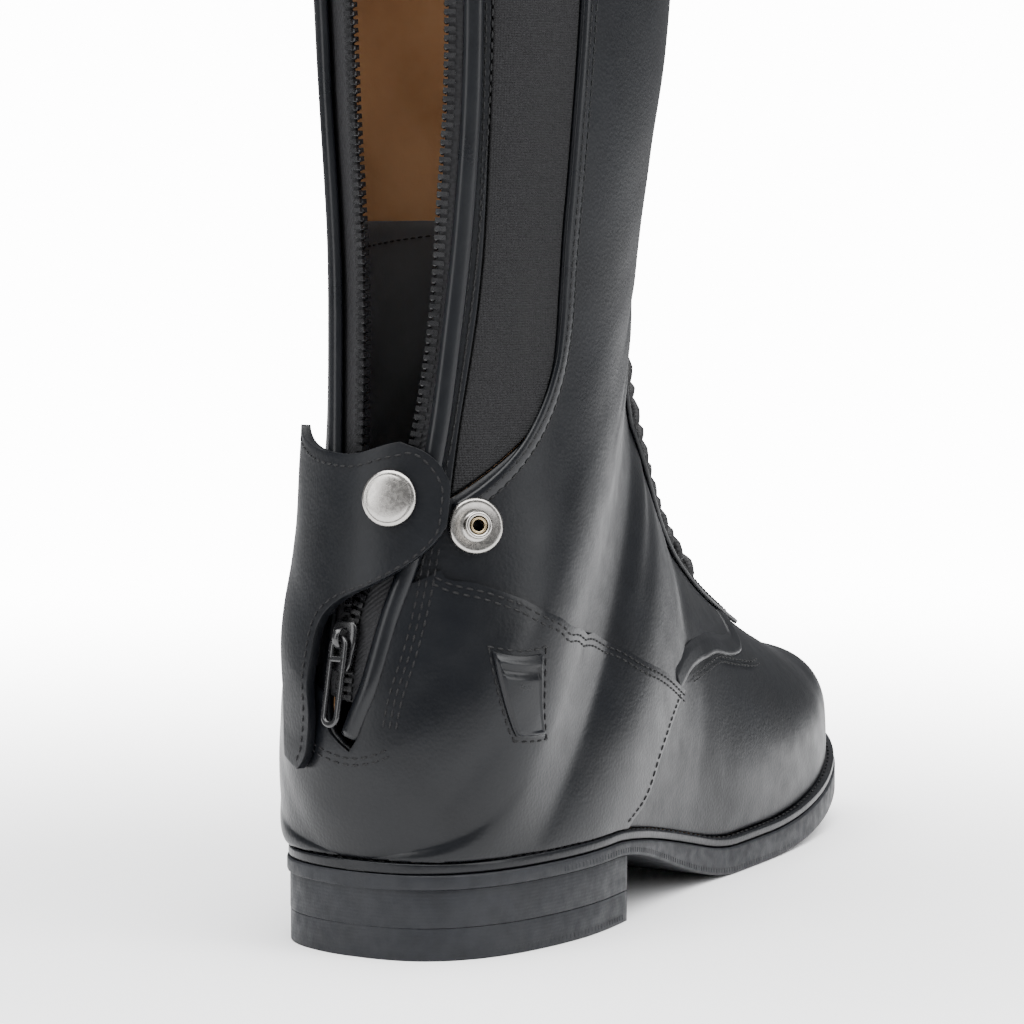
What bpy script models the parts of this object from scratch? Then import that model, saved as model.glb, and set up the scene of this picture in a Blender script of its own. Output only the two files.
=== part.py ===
"""Dress riding boot, right foot: last-shaped upper with an open back zip, elastic panel, snap flap, laced throat and stacked sole.

Frame: origin at the centre of the heel's bottom face, +X to the toe, +Y to the medial side, +Z up, metres.
"""
import math

import bmesh
import bpy
import numpy as np
from mathutils import Matrix, Vector

MM = 0.001

# Driving sizes, mm
SOLE_L = 284.0
BALL_W = 95.0
HEEL_L = 78.0
SWING = 20.0
BOOT_H = 476.0
HEEL_STACK = 18.5
HEEL_LIFT = 8.5
EDGE_HEEL = 6.7
EDGE_FORE = 10.9
WELT_T = 2.6
TOE_SPRING = 17.0
WALL = 2.2
OVERLAY = 1.2
GAP = 0.3
SEAT = 0.45
LEDGE_HEEL = 3.2
LEDGE_FORE = 3.2
SNAP_D = 14.5
FLAP_T = 2.6
LACE_D = 3.0
ROLL_H = 2.4

X_BACK = -HEEL_L / 2
X_TOE = X_BACK + SOLE_L
BREAST = HEEL_L / 2
FLAT_A = X_BACK + 0.56 * SOLE_L
FLAT_B = X_BACK + 0.645 * SOLE_L
HEEL_ROW = 14 / 26
APEX = 0.62
HEEL_SOFT = 0.030
SOFT_STEPS = ((-2.0, 0.06), (-1.5, 0.12), (-1.0, 0.13), (-0.5, 0.12), (0.0, 0.14), (0.5, 0.12), (1.0, 0.13), (1.5, 0.12), (2.0, 0.06))

# Plan outline of the sole: station, lateral and medial edge as shares of the ball width
OUTLINE = np.array([
    (0.00, 0.000, 0.000),
    (0.04, -0.122, 0.112),
    (0.09, -0.226, 0.236),
    (0.15, -0.316, 0.330),
    (0.22, -0.382, 0.394),
    (0.30, -0.412, 0.410),
    (0.36, -0.388, 0.395),
    (0.42, -0.345, 0.385),
    (0.48, -0.318, 0.440),
    (0.54, -0.308, 0.520),
    (0.60, -0.292, 0.598),
    (0.66, -0.266, 0.648),
    (0.72, -0.222, 0.660),
    (0.78, -0.158, 0.638),
    (0.84, -0.080, 0.585),
    (0.90, 0.010, 0.495),
    (0.95, 0.100, 0.375),
    (1.00, 0.210, 0.210),
])

# Sections of the last, toe to collar. Each lies in the plane through a ridge point and a base point.
# plan station, back_x of heel length, back_z of boot height, ridge_x of sole length, ridge_z of boot height,
# ridge_y of swing, lateral and medial width of ball width, height share of the widest point, upper and lower exponent
SECTIONS = np.array([
    (1.00, 0.000, 0.0000, 0.9859, 0.0672, 0.9975, 0.210, 0.210, 0.60, 2.00, 2.00),
    (0.95, 0.000, 0.0000, 0.9789, 0.0945, 0.975, 0.084, 0.347, 0.62, 2.20, 2.00),
    (0.90, 0.000, 0.0000, 0.9577, 0.1076, 0.950, 0.018, 0.458, 0.62, 2.30, 2.00),
    (0.84, 0.000, 0.0000, 0.9137, 0.1155, 0.925, -0.066, 0.553, 0.62, 2.30, 2.10),
    (0.77, 0.000, 0.0000, 0.8539, 0.1235, 0.875, -0.146, 0.610, 0.62, 1.95, 2.40),
    (0.69, 0.000, 0.0000, 0.7887, 0.1376, 0.750, -0.224, 0.626, 0.66, 1.78, 2.50),
    (0.61, 0.000, 0.0000, 0.7077, 0.1597, 0.550, -0.272, 0.578, 0.72, 1.62, 2.60),
    (0.53, 0.000, 0.0000, 0.6268, 0.1859, 0.375, -0.300, 0.488, 0.78, 1.58, 2.50),
    (0.46, 0.000, 0.0000, 0.5616, 0.2153, 0.250, -0.305, 0.424, 0.80, 1.58, 2.30),
    (0.38, 0.000, 0.0000, 0.5141, 0.2468, 0.160, -0.316, 0.397, 0.80, 1.60, 2.20),
    (0.30, 0.000, 0.0000, 0.4842, 0.2752, 0.100, -0.338, 0.393, 0.80, 1.62, 2.00),
    (0.22, 0.000, 0.0000, 0.4665, 0.3000, 0.070, -0.356, 0.399, 0.78, 1.65, 2.00),
    (0.14, 0.000, 0.0000, 0.4542, 0.3200, 0.050, -0.373, 0.408, 0.76, 1.68, 2.00),
    (0.07, 0.000, 0.0000, 0.4437, 0.3357, 0.035, -0.387, 0.422, 0.73, 1.70, 2.00),
    (0.00, 0.000, 0.0000, 0.4366, 0.3477, 0.025, -0.399, 0.431, 0.70, 1.72, 2.05),
    (0.00, -0.038, 0.0252, 0.4318, 0.3587, 0.015, -0.407, 0.424, 0.67, 1.78, 2.10),
    (0.00, -0.046, 0.0546, 0.4312, 0.3723, 0.000, -0.410, 0.406, 0.64, 1.78, 2.10),
    (0.00, -0.029, 0.0882, 0.4308, 0.3904, 0.000, -0.405, 0.385, 0.60, 1.78, 2.00),
    (0.00, 0.019, 0.1303, 0.4319, 0.4126, 0.000, -0.398, 0.370, 0.56, 1.78, 2.00),
    (0.00, 0.073, 0.1849, 0.4328, 0.4414, 0.000, -0.401, 0.373, 0.53, 1.85, 2.00),
    (0.00, 0.118, 0.2479, 0.4355, 0.4801, 0.000, -0.416, 0.395, 0.51, 1.95, 2.00),
    (0.00, 0.146, 0.3256, 0.4466, 0.5340, 0.000, -0.446, 0.430, 0.50, 2.00, 2.00),
    (0.00, 0.141, 0.4202, 0.4545, 0.6121, 0.000, -0.476, 0.473, 0.50, 2.00, 2.00),
    (0.00, 0.103, 0.5462, 0.4665, 0.6933, 0.000, -0.503, 0.503, 0.50, 2.00, 2.00),
    (0.00, 0.045, 0.6933, 0.4754, 0.8088, 0.000, -0.533, 0.533, 0.50, 2.00, 2.00),
    (0.00, 0.006, 0.8403, 0.4806, 0.9139, 0.000, -0.549, 0.549, 0.50, 2.00, 2.00),
    (0.00, -0.006, 0.9454, 0.4842, 0.9989, 0.000, -0.558, 0.558, 0.50, 2.00, 2.00),
])

# Rows of the upper's grid: station along the last
ROWS_UPPER = [
    0.0, 0.010, 0.022, 0.037, 0.056, 0.080, 0.106, 0.134, 0.162, 0.192, 0.217, 0.235, 0.264, 0.294, 0.324, 0.345,
    0.374, 0.405, 0.438, 0.470, 0.497, 0.514, 0.528, HEEL_ROW, 0.558, 0.578, 0.600, APEX, 0.634, 0.650, 0.668,
    0.686, 0.702, 0.715, 0.728, 0.750, 0.775, 0.804, 0.840, 0.882, 0.930, 0.975, 1.0,
]

# Borders, station against the share of the half section (0 ridge, 1 back or feather line)
FRONT_KEY = [
    (0.0, 0.50), (0.30, 0.43), (0.331, 0.394), (0.405, 0.391), (0.438, 0.396), (0.470, 0.405),
    (0.497, 0.420),
    (0.528, 0.439), (0.558, 0.465), (0.578, 0.490), (0.600, 0.529), (0.634, 0.608), (0.668, 0.701),
    (0.686, 0.765),
    (0.702, 0.835), (0.715, 0.755), (0.728, 0.665), (0.750, 0.632), (0.772, 0.638), (0.80, 0.648),
    (0.85, 0.642), (1.0, 0.640),
]
BACK_KEY = [
    (0.0, 0.80), (0.345, 0.76), (0.437, 0.76), (0.600, 0.80), (0.652, 0.84), (0.686, 0.85),
    (0.702, 0.862), (0.728, 0.832),
    (0.750, 0.826), (0.789, 0.808), (0.82, 0.804), (1.0, 0.800),
]

FRONT_MEDIAL = [
    (0.0, 0.50), (0.30, 0.43), (0.345, 0.394), (0.438, 0.396), (0.497, 0.420), (0.558, 0.465),
    (0.600, 0.529), (0.634, 0.600),
    (0.650, 0.632), (0.668, 0.650), (0.702, 0.648), (0.75, 0.640), (1.0, 0.640),
]
BACK_MEDIAL = [(0.0, 0.80), (0.60, 0.80), (1.0, 0.800)]
SEAM_KEY = [
    (0.0, 0.90), (0.60, 0.925), (APEX, 0.929), (0.650, 0.917), (0.674, 0.892), (0.694, 0.879),
    (0.702, 0.872), (0.728, 0.850),
    (0.80, 0.822), (1.0, 0.810),
]

# Zip borders, station against the signed share from the back's centre line (medial positive)
CUT_LATERAL = [
    (APEX, 0.0), (0.634, -0.026), (0.650, -0.036), (0.668, -0.053), (0.691, -0.076), (0.713, -0.109),
    (0.754, -0.143),
    (0.794, -0.158), (0.844, -0.175), (1.0, -0.180),
]
CUT_MEDIAL = [
    (APEX, 0.0), (0.634, 0.066), (0.650, 0.082), (0.668, 0.090), (0.691, 0.096), (0.713, 0.105),
    (0.756, 0.135),
    (0.813, 0.148), (0.846, 0.160), (1.0, 0.170),
]
ROLL_LATERAL = [
    (0.628, 0.026), (0.640, 0.012), (0.657, -0.013), (0.691, -0.046), (0.713, -0.079), (0.754, -0.113),
    (0.794, -0.128),
    (0.844, -0.145), (1.0, -0.150),
]
ROLL_MEDIAL = [(0.668, 0.074), (0.70, 0.080), (0.756, 0.105), (0.813, 0.118), (0.846, 0.130), (1.0, 0.140)]
TEETH_LATERAL = [
    (0.628, 0.034), (0.690, 0.034), (0.705, 0.012), (0.72, -0.020), (0.754, -0.078), (0.781, -0.098),
    (0.815, -0.108),
    (0.844, -0.119), (1.0, -0.125),
]
TEETH_MEDIAL = [(0.628, 0.039), (0.690, 0.039), (0.72, 0.042), (0.754, 0.046), (0.813, 0.061), (0.846, 0.073), (1.0, 0.085)]

# Snap flap, station against its right (lateral) and left (medial) edge
FLAP_RIGHT = [
    (0.598, 0.115), (0.606, 0.098), (0.615, 0.088), (0.635, 0.083), (0.657, 0.092), (0.678, 0.088),
    (0.688, 0.072),
    (0.695, 0.046), (0.701, 0.005), (0.705, -0.045), (0.709, -0.100), (0.713, -0.145), (0.719, -0.168),
    (0.731, -0.168),
    (0.741, -0.148), (0.749, -0.113), (0.754, -0.070),
]
FLAP_LEFT = [(0.598, 0.162), (0.63, 0.188), (0.652, 0.235), (0.67, 0.262), (0.70, 0.270), (0.754, 0.270)]

# Corners of the bare plaque on the counter: station, share
PLAQUE = [(0.635, 0.708), (0.600, 0.596), (0.548, 0.592), (0.569, 0.646)]

EYELET_ROWS = [0.280, 0.305, 0.332, 0.362, 0.397, 0.442, 0.505, 0.580]
EYELET_SHARE = 0.112
THROAT = (0.235, APEX)
THROAT_SHARE = 0.070
STAY_SHARE = 0.150

COLOURS = {
    "leather": (0.030, 0.032, 0.036),
    "rubber": (0.035, 0.037, 0.040),
    "elastic": (0.015, 0.015, 0.016),
    "lining": (0.230, 0.110, 0.055),
    "metal": (0.720, 0.690, 0.640),
    "zip": (0.020, 0.020, 0.022),
    "cord": (0.018, 0.018, 0.020),
}


def clear_scene():
    for obj in list(bpy.data.objects):
        bpy.data.objects.remove(obj, do_unlink=True)


def make_collections():
    boot = bpy.data.collections.new("dress_riding_boot")
    guides = bpy.data.collections.new("guides")
    bpy.context.scene.collection.children.link(boot)
    bpy.context.scene.collection.children.link(guides)
    guides.hide_render = True
    return boot, guides


def material(name, colour, roughness, metallic=0.0):
    mat = bpy.data.materials.new(name)
    mat.use_nodes = True
    shader = mat.node_tree.nodes["Principled BSDF"]
    shader.inputs["Base Color"].default_value = (*colour, 1.0)
    shader.inputs["Roughness"].default_value = roughness
    shader.inputs["Metallic"].default_value = metallic
    return mat


def smooth(t):
    t = np.clip(t, 0.0, 1.0)
    return t * t * (3.0 - 2.0 * t)


def monotone(rows, x):
    """Monotone cubic through a table of rows, first column the station."""
    rows = np.asarray(rows, float)
    xs, ys = rows[:, 0], rows[:, 1:]
    h = np.diff(xs)
    d = np.diff(ys, axis=0) / h[:, None]
    m = np.zeros_like(ys)
    for k in range(1, len(xs) - 1):
        w1 = 2 * h[k] + h[k - 1]
        w2 = h[k] + 2 * h[k - 1]
        same = d[k - 1] * d[k] > 0
        safe_a = np.where(same, d[k - 1], 1.0)
        safe_b = np.where(same, d[k], 1.0)
        m[k] = np.where(same, (w1 + w2) / (w1 / safe_a + w2 / safe_b), 0.0)
    m[0], m[-1] = d[0], d[-1]
    x = np.asarray(x, float)
    i = np.clip(np.searchsorted(xs, x, side="right") - 1, 0, len(xs) - 2)
    t = ((x - xs[i]) / h[i])[..., None]
    hi = h[i][..., None]
    t2, t3 = t * t, t * t * t
    return (2 * t3 - 3 * t2 + 1) * ys[i] + (t3 - 2 * t2 + t) * hi * m[i] + (3 * t2 - 2 * t3) * ys[i + 1] + (t3 - t2) * hi * m[i + 1]


def line(rows, x):
    return monotone(rows, x)[..., 0]


def outline(w):
    """Plan x, lateral y and medial y of the sole at station w (0 heel back, 1 toe tip)."""
    w = np.asarray(w, float)
    xs, ys = OUTLINE[:, 0], OUTLINE[:, 1:] * BALL_W
    m = np.gradient(ys, xs, axis=0)
    i = np.clip(np.searchsorted(xs, w, side="right") - 1, 0, len(xs) - 2)
    h = np.diff(xs)[i][..., None]
    t = ((w - xs[i])[..., None]) / h
    t2, t3 = t * t, t * t * t
    y = (2 * t3 - 3 * t2 + 1) * ys[i] + (t3 - 2 * t2 + t) * h * m[i] + (3 * t2 - 2 * t3) * ys[i + 1] + (t3 - t2) * h * m[i + 1]
    x = X_BACK + SOLE_L * (1 - np.cos(np.pi * w)) / 2
    return x, y[..., 0], y[..., 1]


def inset(w, by):
    """The outline moved in by about this much."""
    _, lat, med = outline(w)
    mid, half = (lat + med) / 2, (med - lat) / 2
    half = half * (1 - by / (BALL_W / 2))
    x = X_BACK + by + (SOLE_L - 2 * by) * (1 - np.cos(np.pi * np.asarray(w, float))) / 2
    return x, mid - half, mid + half


def sole_bottom(x):
    x = np.asarray(x, float)
    start = BREAST - 8
    arch = HEEL_STACK * (1 - smooth((x - start) / (FLAT_A - start)))
    return arch + TOE_SPRING * np.clip((x - FLAT_B) / (X_TOE - FLAT_B), 0, 1) ** 1.8


def sole_edge(x):
    return EDGE_HEEL + (EDGE_FORE - EDGE_HEEL) * smooth((np.asarray(x, float) - BREAST) / 60)


def sole_top(x):
    return sole_bottom(x) + sole_edge(x)


SECTION_TABLE = np.column_stack([np.arange(len(SECTIONS)) / (len(SECTIONS) - 1), SECTIONS])


def last(u, v, side):
    """Point of the upper's outside: u toe to collar, v 0 at the ridge and 1 at the feather line or the back, side -1 lateral."""
    u, v, side = np.broadcast_arrays(np.asarray(u, float), np.asarray(v, float), np.asarray(side, float))
    reach = HEEL_SOFT * np.exp(-((u - HEEL_ROW) / 0.075) ** 2) * (1 - smooth((v - 0.70) / 0.30)) * smooth(v / 0.10)
    total = 0.0
    for step, weight in SOFT_STEPS:
        total = total + weight * ruled(np.clip(u + step * reach, 0.0, 1.0), v, side)
    return total


def ruled(u, v, side):
    """The surface from the section table alone, before the turn from the feather line to the back is softened."""
    u, v, side = np.broadcast_arrays(np.asarray(u, float), np.asarray(v, float), np.asarray(side, float))
    plan, dx, dz, rx, rz, ry, lat, med, wide, top, low = np.moveaxis(monotone(SECTION_TABLE, u), -1, 0)
    plan = np.where(plan < 1e-6, 0.0, plan)
    x_out, o_lat, o_med = outline(plan)
    ledge = LEDGE_HEEL + (LEDGE_FORE - LEDGE_HEEL) * smooth((x_out - BREAST) / 70)
    base_x = X_BACK + ledge + (SOLE_L - 2 * ledge) * (1 - np.cos(np.pi * plan)) / 2
    mid, half = (o_lat + o_med) / 2, (o_med - o_lat) / 2 * (1 - ledge / (BALL_W / 2))
    feather = mid + side * half
    bx, bz = base_x + dx * HEEL_L, sole_top(base_x) + SEAT + dz * BOOT_H
    rx, rz, ry = X_BACK + rx * SOLE_L, rz * BOOT_H, ry * SWING
    widest = np.where(side < 0, lat, med) * BALL_W
    out = np.where(plan > 0, np.maximum(side * (widest - feather), np.minimum(0.8, half)), side * (widest - feather))
    widest = feather + side * out
    a = np.clip(v * np.pi, 0, np.pi / 2)
    b = np.clip(v * np.pi - np.pi / 2, 0, np.pi / 2)
    cos_a, cos_b = np.maximum(np.cos(a), 0.0), np.maximum(np.cos(b), 0.0)
    cos_b = np.where(v >= 1.0, 0.0, cos_b)
    y_up, s_up = ry + (widest - ry) * np.sin(a) ** (2 / top), wide * (1 - cos_a ** (2 / top))
    y_low, s_low = feather + (widest - feather) * cos_b ** (2 / low), wide + (1 - wide) * np.sin(b) ** (2 / low)
    y, s = np.where(v <= 0.5, y_up, y_low), np.where(v <= 0.5, s_up, s_low)
    return np.stack([rx + s * (bx - rx), y, rz + s * (bz - rz)], -1)


def last_centre(u):
    return (last(u, 0.5, -1) + last(u, 0.5, 1)) / 2


def around(u, a):
    """The same surface by signed share from the back's centre line, medial positive."""
    a = np.asarray(a, float)
    return last(u, 1 - np.abs(a), np.where(a < 0, -1.0, 1.0))


def frame(point, u, s, du=0.004, ds=0.004):
    """Position, outward normal and the two directions of a surface function point(u, s)."""
    p = point(u, s)
    along = point(np.minimum(u + du, 1.0), s) - point(np.maximum(u - du, 0.0), s)
    across = point(u, s + ds) - point(u, s - ds)
    n = np.cross(along, across)
    n /= np.linalg.norm(n, axis=-1, keepdims=True)
    if np.sum(n * (p - last_centre(u))) < 0:
        n = -n
    along = along / np.linalg.norm(along, axis=-1, keepdims=True)
    across = np.cross(n, along)
    return p, n, along, across


def add_object(name, verts, faces, mat, collection):
    mesh = bpy.data.meshes.new(name)
    mesh.from_pydata([tuple(v * MM) for v in np.asarray(verts, float)], [], faces)
    mesh.update()
    bm = bmesh.new()
    bm.from_mesh(mesh)
    bmesh.ops.remove_doubles(bm, verts=bm.verts, dist=1e-6)
    bmesh.ops.recalc_face_normals(bm, faces=bm.faces)
    if bm.calc_volume(signed=True) < 0:
        bmesh.ops.reverse_faces(bm, faces=bm.faces)
    bm.to_mesh(mesh)
    bm.free()
    obj = bpy.data.objects.new(name, mesh)
    obj.data.materials.append(mat)
    collection.objects.link(obj)
    return obj


def grid_normals(points, centres):
    """Welded vertex numbers and outward normals of a grid of points."""
    rows, cols = points.shape[:2]
    flat = points.reshape(-1, 3)
    _, first, ids = np.unique(np.round(flat, 4), axis=0, return_index=True, return_inverse=True)
    ids = ids.reshape(rows, cols)
    a, b, c, d = ids[:-1, :-1], ids[:-1, 1:], ids[1:, 1:], ids[1:, :-1]
    base = flat[first]
    normals = np.zeros_like(base)
    n = np.cross(base[c] - base[a], base[d] - base[b]).reshape(-1, 3)
    for corner in (a, b, c, d):
        np.add.at(normals, corner.reshape(-1), n)
    normals /= np.maximum(np.linalg.norm(normals, axis=1, keepdims=True), 1e-9)
    away = np.repeat(centres[:, None], cols, 1).reshape(-1, 3)[first]
    if np.sum(normals * (base - away)) < 0:
        normals = -normals
    return ids, base, normals


def split(loop, base):
    """A cell's triangles, cut along its shorter diagonal so that every layer over the last is cut alike."""
    if len(loop) == 3:
        return [loop]
    a, b, c, d = loop
    if np.linalg.norm(base[a] - base[c]) <= np.linalg.norm(base[b] - base[d]):
        return [[a, b, c], [a, c, d]]
    return [[a, b, d], [b, c, d]]


def shell(name, points, centres, outer, inner, mat, collection, keep=None, floor=None):
    """A closed wall between two offsets of a grid. keep drops cells, floor holds the inner side above a height."""
    rows, cols = points.shape[:2]
    ids, base, normals = grid_normals(points, centres)
    outer = np.broadcast_to(np.asarray(outer, float), (rows, cols)).reshape(-1)
    inner = np.broadcast_to(np.asarray(inner, float), (rows, cols)).reshape(-1)
    out_of, in_of = np.zeros(len(base)), np.zeros(len(base))
    out_of[ids.reshape(-1)] = outer
    in_of[ids.reshape(-1)] = inner
    top, low = base + normals * out_of[:, None], base + normals * in_of[:, None]
    if floor is not None:
        low[:, 2] = np.maximum(low[:, 2], floor(low[:, 0]))
        top[:, 2] = np.maximum(top[:, 2], floor(top[:, 0]))
    keep = np.ones((rows - 1, cols - 1), bool) if keep is None else keep
    count = len(base)
    faces, edges = [], {}
    for i in range(rows - 1):
        for j in range(cols - 1):
            if not keep[i, j]:
                continue
            loop = [ids[i, j], ids[i, j + 1], ids[i + 1, j + 1], ids[i + 1, j]]
            loop = [v for k, v in enumerate(loop) if v != loop[k - 1]]
            if len(set(loop)) < 3:
                continue
            for part in split(loop, base):
                faces.append([int(v) for v in part])
                faces.append([int(v) + count for v in reversed(part)])
            for k in range(len(loop)):
                edge = (loop[k - 1], loop[k])
                if edge[::-1] in edges:
                    del edges[edge[::-1]]
                else:
                    edges[edge] = True
    for p, q in edges:
        faces.append([int(q), int(p), int(p) + count, int(q) + count])
    used = sorted({v for f in faces for v in f})
    number = {v: k for k, v in enumerate(used)}
    verts = np.vstack([top, low])[used]
    return add_object(name, verts, [[number[v] for v in f] for f in faces], mat, collection)


def sweep(name, centres, frames, profile, mat, collection):
    """A closed tube: profile rows of (across, out) per centre, or one for all."""
    across, out = frames
    rows = len(centres)
    profile = np.asarray(profile, float)
    if profile.ndim == 2:
        profile = np.repeat(profile[None], rows, 0)
    ring = profile.shape[1]
    verts = centres[:, None] + across[:, None] * profile[..., :1] + out[:, None] * profile[..., 1:]
    verts = verts.reshape(-1, 3)
    faces = []
    for i in range(rows - 1):
        for j in range(ring):
            k = (j + 1) % ring
            faces.append([i * ring + j, i * ring + k, (i + 1) * ring + k, (i + 1) * ring + j])
    faces.append(list(range(ring))[::-1])
    faces.append([(rows - 1) * ring + j for j in range(ring)])
    return add_object(name, verts, faces, mat, collection)


def lathe(name, profile, steps, place, mat, collection, closed=False):
    """A solid of revolution about local Z, moved by the matrix. A closed profile is a ring, another ends on the axis."""
    verts, faces = [], []
    rings = []
    for r, z in profile:
        if r < 1e-6:
            rings.append([len(verts)])
            verts.append((0.0, 0.0, z))
        else:
            rings.append(list(range(len(verts), len(verts) + steps)))
            for k in range(steps):
                t = 2 * math.pi * k / steps
                verts.append((r * math.cos(t), r * math.sin(t), z))
    if closed:
        rings.append(rings[0])
    for lower, upper in zip(rings, rings[1:]):
        for k in range(steps):
            n = (k + 1) % steps
            loop = [lower[k % len(lower)], lower[n % len(lower)], upper[n % len(upper)], upper[k % len(upper)]]
            loop = [v for i, v in enumerate(loop) if v != loop[i - 1]]
            faces.append(loop)
    moved = [place @ Vector(v) for v in verts]
    return add_object(name, np.array([list(v) for v in moved]), faces, mat, collection)


def placed(point, normal, up=(0, 0, 1)):
    """Matrix whose local Z is the normal and whose local Y is near the given direction."""
    z = Vector(normal).normalized()
    x = Vector(up).cross(z).normalized()
    y = z.cross(x)
    turn = Matrix((x, y, z)).transposed().to_4x4()
    return Matrix.Translation(Vector(point)) @ turn


def rounded_box(name, size, bevel, place, mat, collection):
    bm = bmesh.new()
    bmesh.ops.create_cube(bm, size=1.0)
    for v in bm.verts:
        v.co = Vector((v.co.x * size[0], v.co.y * size[1], v.co.z * size[2]))
    bmesh.ops.bevel(bm, geom=list(bm.edges), offset=bevel, segments=1, affect="EDGES")
    verts = np.array([list(place @ v.co) for v in bm.verts])
    faces = [[v.index for v in f.verts] for f in bm.faces]
    bm.free()
    return add_object(name, verts, faces, mat, collection)


FRONT_COL, BACK_COL, SEAM_COL, END_COL = 8, 11, 12, 13
COUNTER = (0.345, 0.702)
COUNTER_MEDIAL = 0.650
PANEL = (0.728, 0.975)


def half_columns(u, side):
    """Shares of one half's grid columns at a station: ridge, throat, stay, front border, back border, seam and end."""
    front_key, back_key, cut = (FRONT_KEY, BACK_KEY, CUT_LATERAL) if side < 0 else (FRONT_MEDIAL, BACK_MEDIAL, CUT_MEDIAL)
    front, back = float(line(front_key, u)), float(line(back_key, u))
    end = 1.0 if u <= APEX else 1 - abs(float(line(cut, u)))
    seam = float(line(SEAM_KEY, u)) if side < 0 else (back + end) / 2
    flank = list(np.linspace(STAY_SHARE, front, 7)[1:])
    panel = list(np.linspace(front, back, 4)[1:])
    return np.array([0.0, THROAT_SHARE, STAY_SHARE] + flank + panel + [seam, end])


def half_rows(us, side, cols):
    """Grid points of one half for some of its columns."""
    return np.array([last(u, half_columns(u, side)[cols], side) for u in us])


def over_ridge(us, cols):
    """Grid points from the medial column over the ridge to the same lateral column."""
    med = half_rows(us, 1.0, np.arange(cols, -1, -1))
    lat = half_rows(us, -1.0, np.arange(1, cols + 1))
    return np.concatenate([med, lat], axis=1)


def slab(name, stations, by, bottom, top, mat, collection, chamfer=0.5):
    """A plate with the sole's plan, inset by some mm, between two height functions of x."""
    x, lat, med = inset(np.array(stations), by)
    z0, z1 = bottom(x), top(x)
    rows = []
    for k in range(len(stations)):
        c = min(chamfer, (med[k] - lat[k]) / 4)
        rows.append([
            (x[k], lat[k] + c, z0[k]), (x[k], lat[k], z0[k] + c), (x[k], lat[k], z1[k] - c),
            (x[k], lat[k] + c, z1[k]),
            (x[k], med[k] - c, z1[k]), (x[k], med[k], z1[k] - c), (x[k], med[k], z0[k] + c),
            (x[k], med[k] - c, z0[k]),
        ])
    verts = np.array(rows).reshape(-1, 3)
    faces = []
    for i in range(len(rows) - 1):
        for j in range(8):
            k = (j + 1) % 8
            faces.append([i * 8 + j, i * 8 + k, i * 8 + 8 + k, i * 8 + 8 + j])
    faces.append(list(range(8))[::-1])
    faces.append([(len(rows) - 1) * 8 + j for j in range(8)])
    return add_object(name, verts, faces, mat, collection)


def build_sole(mats, boot):
    ends = 0.012
    full = np.concatenate([np.linspace(ends, 0.10, 5), np.linspace(0.135, 0.90, 21), np.linspace(0.925, 1 - ends, 5)])
    slab("outsole", full, 0.0, sole_bottom, lambda x: sole_top(x) - WELT_T - GAP, mats["rubber"], boot)
    slab("welt", full, 0.4, lambda x: sole_top(x) - WELT_T, sole_top, mats["leather"], boot, 0.4)
    inner = np.concatenate([np.linspace(0.03, 0.10, 4), np.linspace(0.14, 0.88, 18), np.linspace(0.91, 0.975, 4)])
    slab("insole", inner, 8.5, lambda x: sole_top(x) + GAP, lambda x: sole_top(x) + GAP + 3.0, mats["lining"], boot, 0.4)
    breast_w = math.acos(1 - 2 * (BREAST - X_BACK) / SOLE_L) / math.pi
    heel = np.concatenate([np.linspace(ends, 0.10, 6), np.linspace(0.13, breast_w, 7)])
    slab("heel_block", heel, 0.8, lambda x: HEEL_LIFT + GAP + 0 * x, lambda x: sole_bottom(x) - GAP, mats["rubber"], boot, 0.3)
    slab("heel_lift", heel, 1.0, lambda x: 0 * x, lambda x: HEEL_LIFT + 0 * x, mats["rubber"], boot, 0.5)


def build_upper(mats, boot):
    us = np.array(ROWS_UPPER)
    points = over_ridge(us, END_COL)
    rows, cols = points.shape[:2]
    keep = np.ones((rows - 1, cols - 1), bool)
    for i in range(rows - 1):
        if THROAT[0] <= us[i] and us[i + 1] <= THROAT[1]:
            keep[i, END_COL - 1:END_COL + 1] = False
        if PANEL[0] <= us[i] and us[i + 1] <= PANEL[1]:
            keep[i, END_COL + FRONT_COL:END_COL + BACK_COL] = False
    shell("upper", points, last_centre(us), 0.0, -WALL, mats["leather"], boot, keep, lambda x: sole_top(x) + SEAT)


def build_counter(mats, boot):
    """Both halves of the heel counter, joined under the zip, open above it."""
    us = np.array([u for u in ROWS_UPPER if COUNTER[0] <= u <= COUNTER[1]])
    cols = np.arange(FRONT_COL, END_COL + 1)
    points = np.concatenate([half_rows(us, -1.0, cols), half_rows(us, 1.0, cols[::-1])], axis=1)
    half = END_COL - FRONT_COL
    keep = np.ones((len(us) - 1, 2 * half + 1), bool)
    keep[:, half] = False
    for i in range(len(us) - 1):
        if us[i] >= APEX:
            keep[i, half - 1] = False
            keep[i, half + 1:half + 3] = False
        if us[i] >= COUNTER_MEDIAL:
            keep[i, half:] = False
    outer = GAP + OVERLAY
    shell("counter", points, last_centre(us), outer, GAP, mats["leather"], boot, keep, lambda x: sole_top(x) + SEAT)


def build_stay_and_tongue(mats, boot):
    us = np.array([u for u in ROWS_UPPER if 0.216 <= u <= THROAT[1]])
    points = over_ridge(us, 2)
    keep = np.ones((len(us) - 1, 4), bool)
    for i in range(len(us) - 1):
        if us[i] >= THROAT[0]:
            keep[i, 1:3] = False
    shell("lace_stay", points, last_centre(us), GAP + OVERLAY, GAP, mats["leather"], boot, keep)
    us = np.array([u for u in ROWS_UPPER if 0.216 <= u <= 0.651])
    under = -WALL - 0.4
    shell("tongue", over_ridge(us, 3), last_centre(us), under, under - 2.0, mats["leather"], boot)


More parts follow.
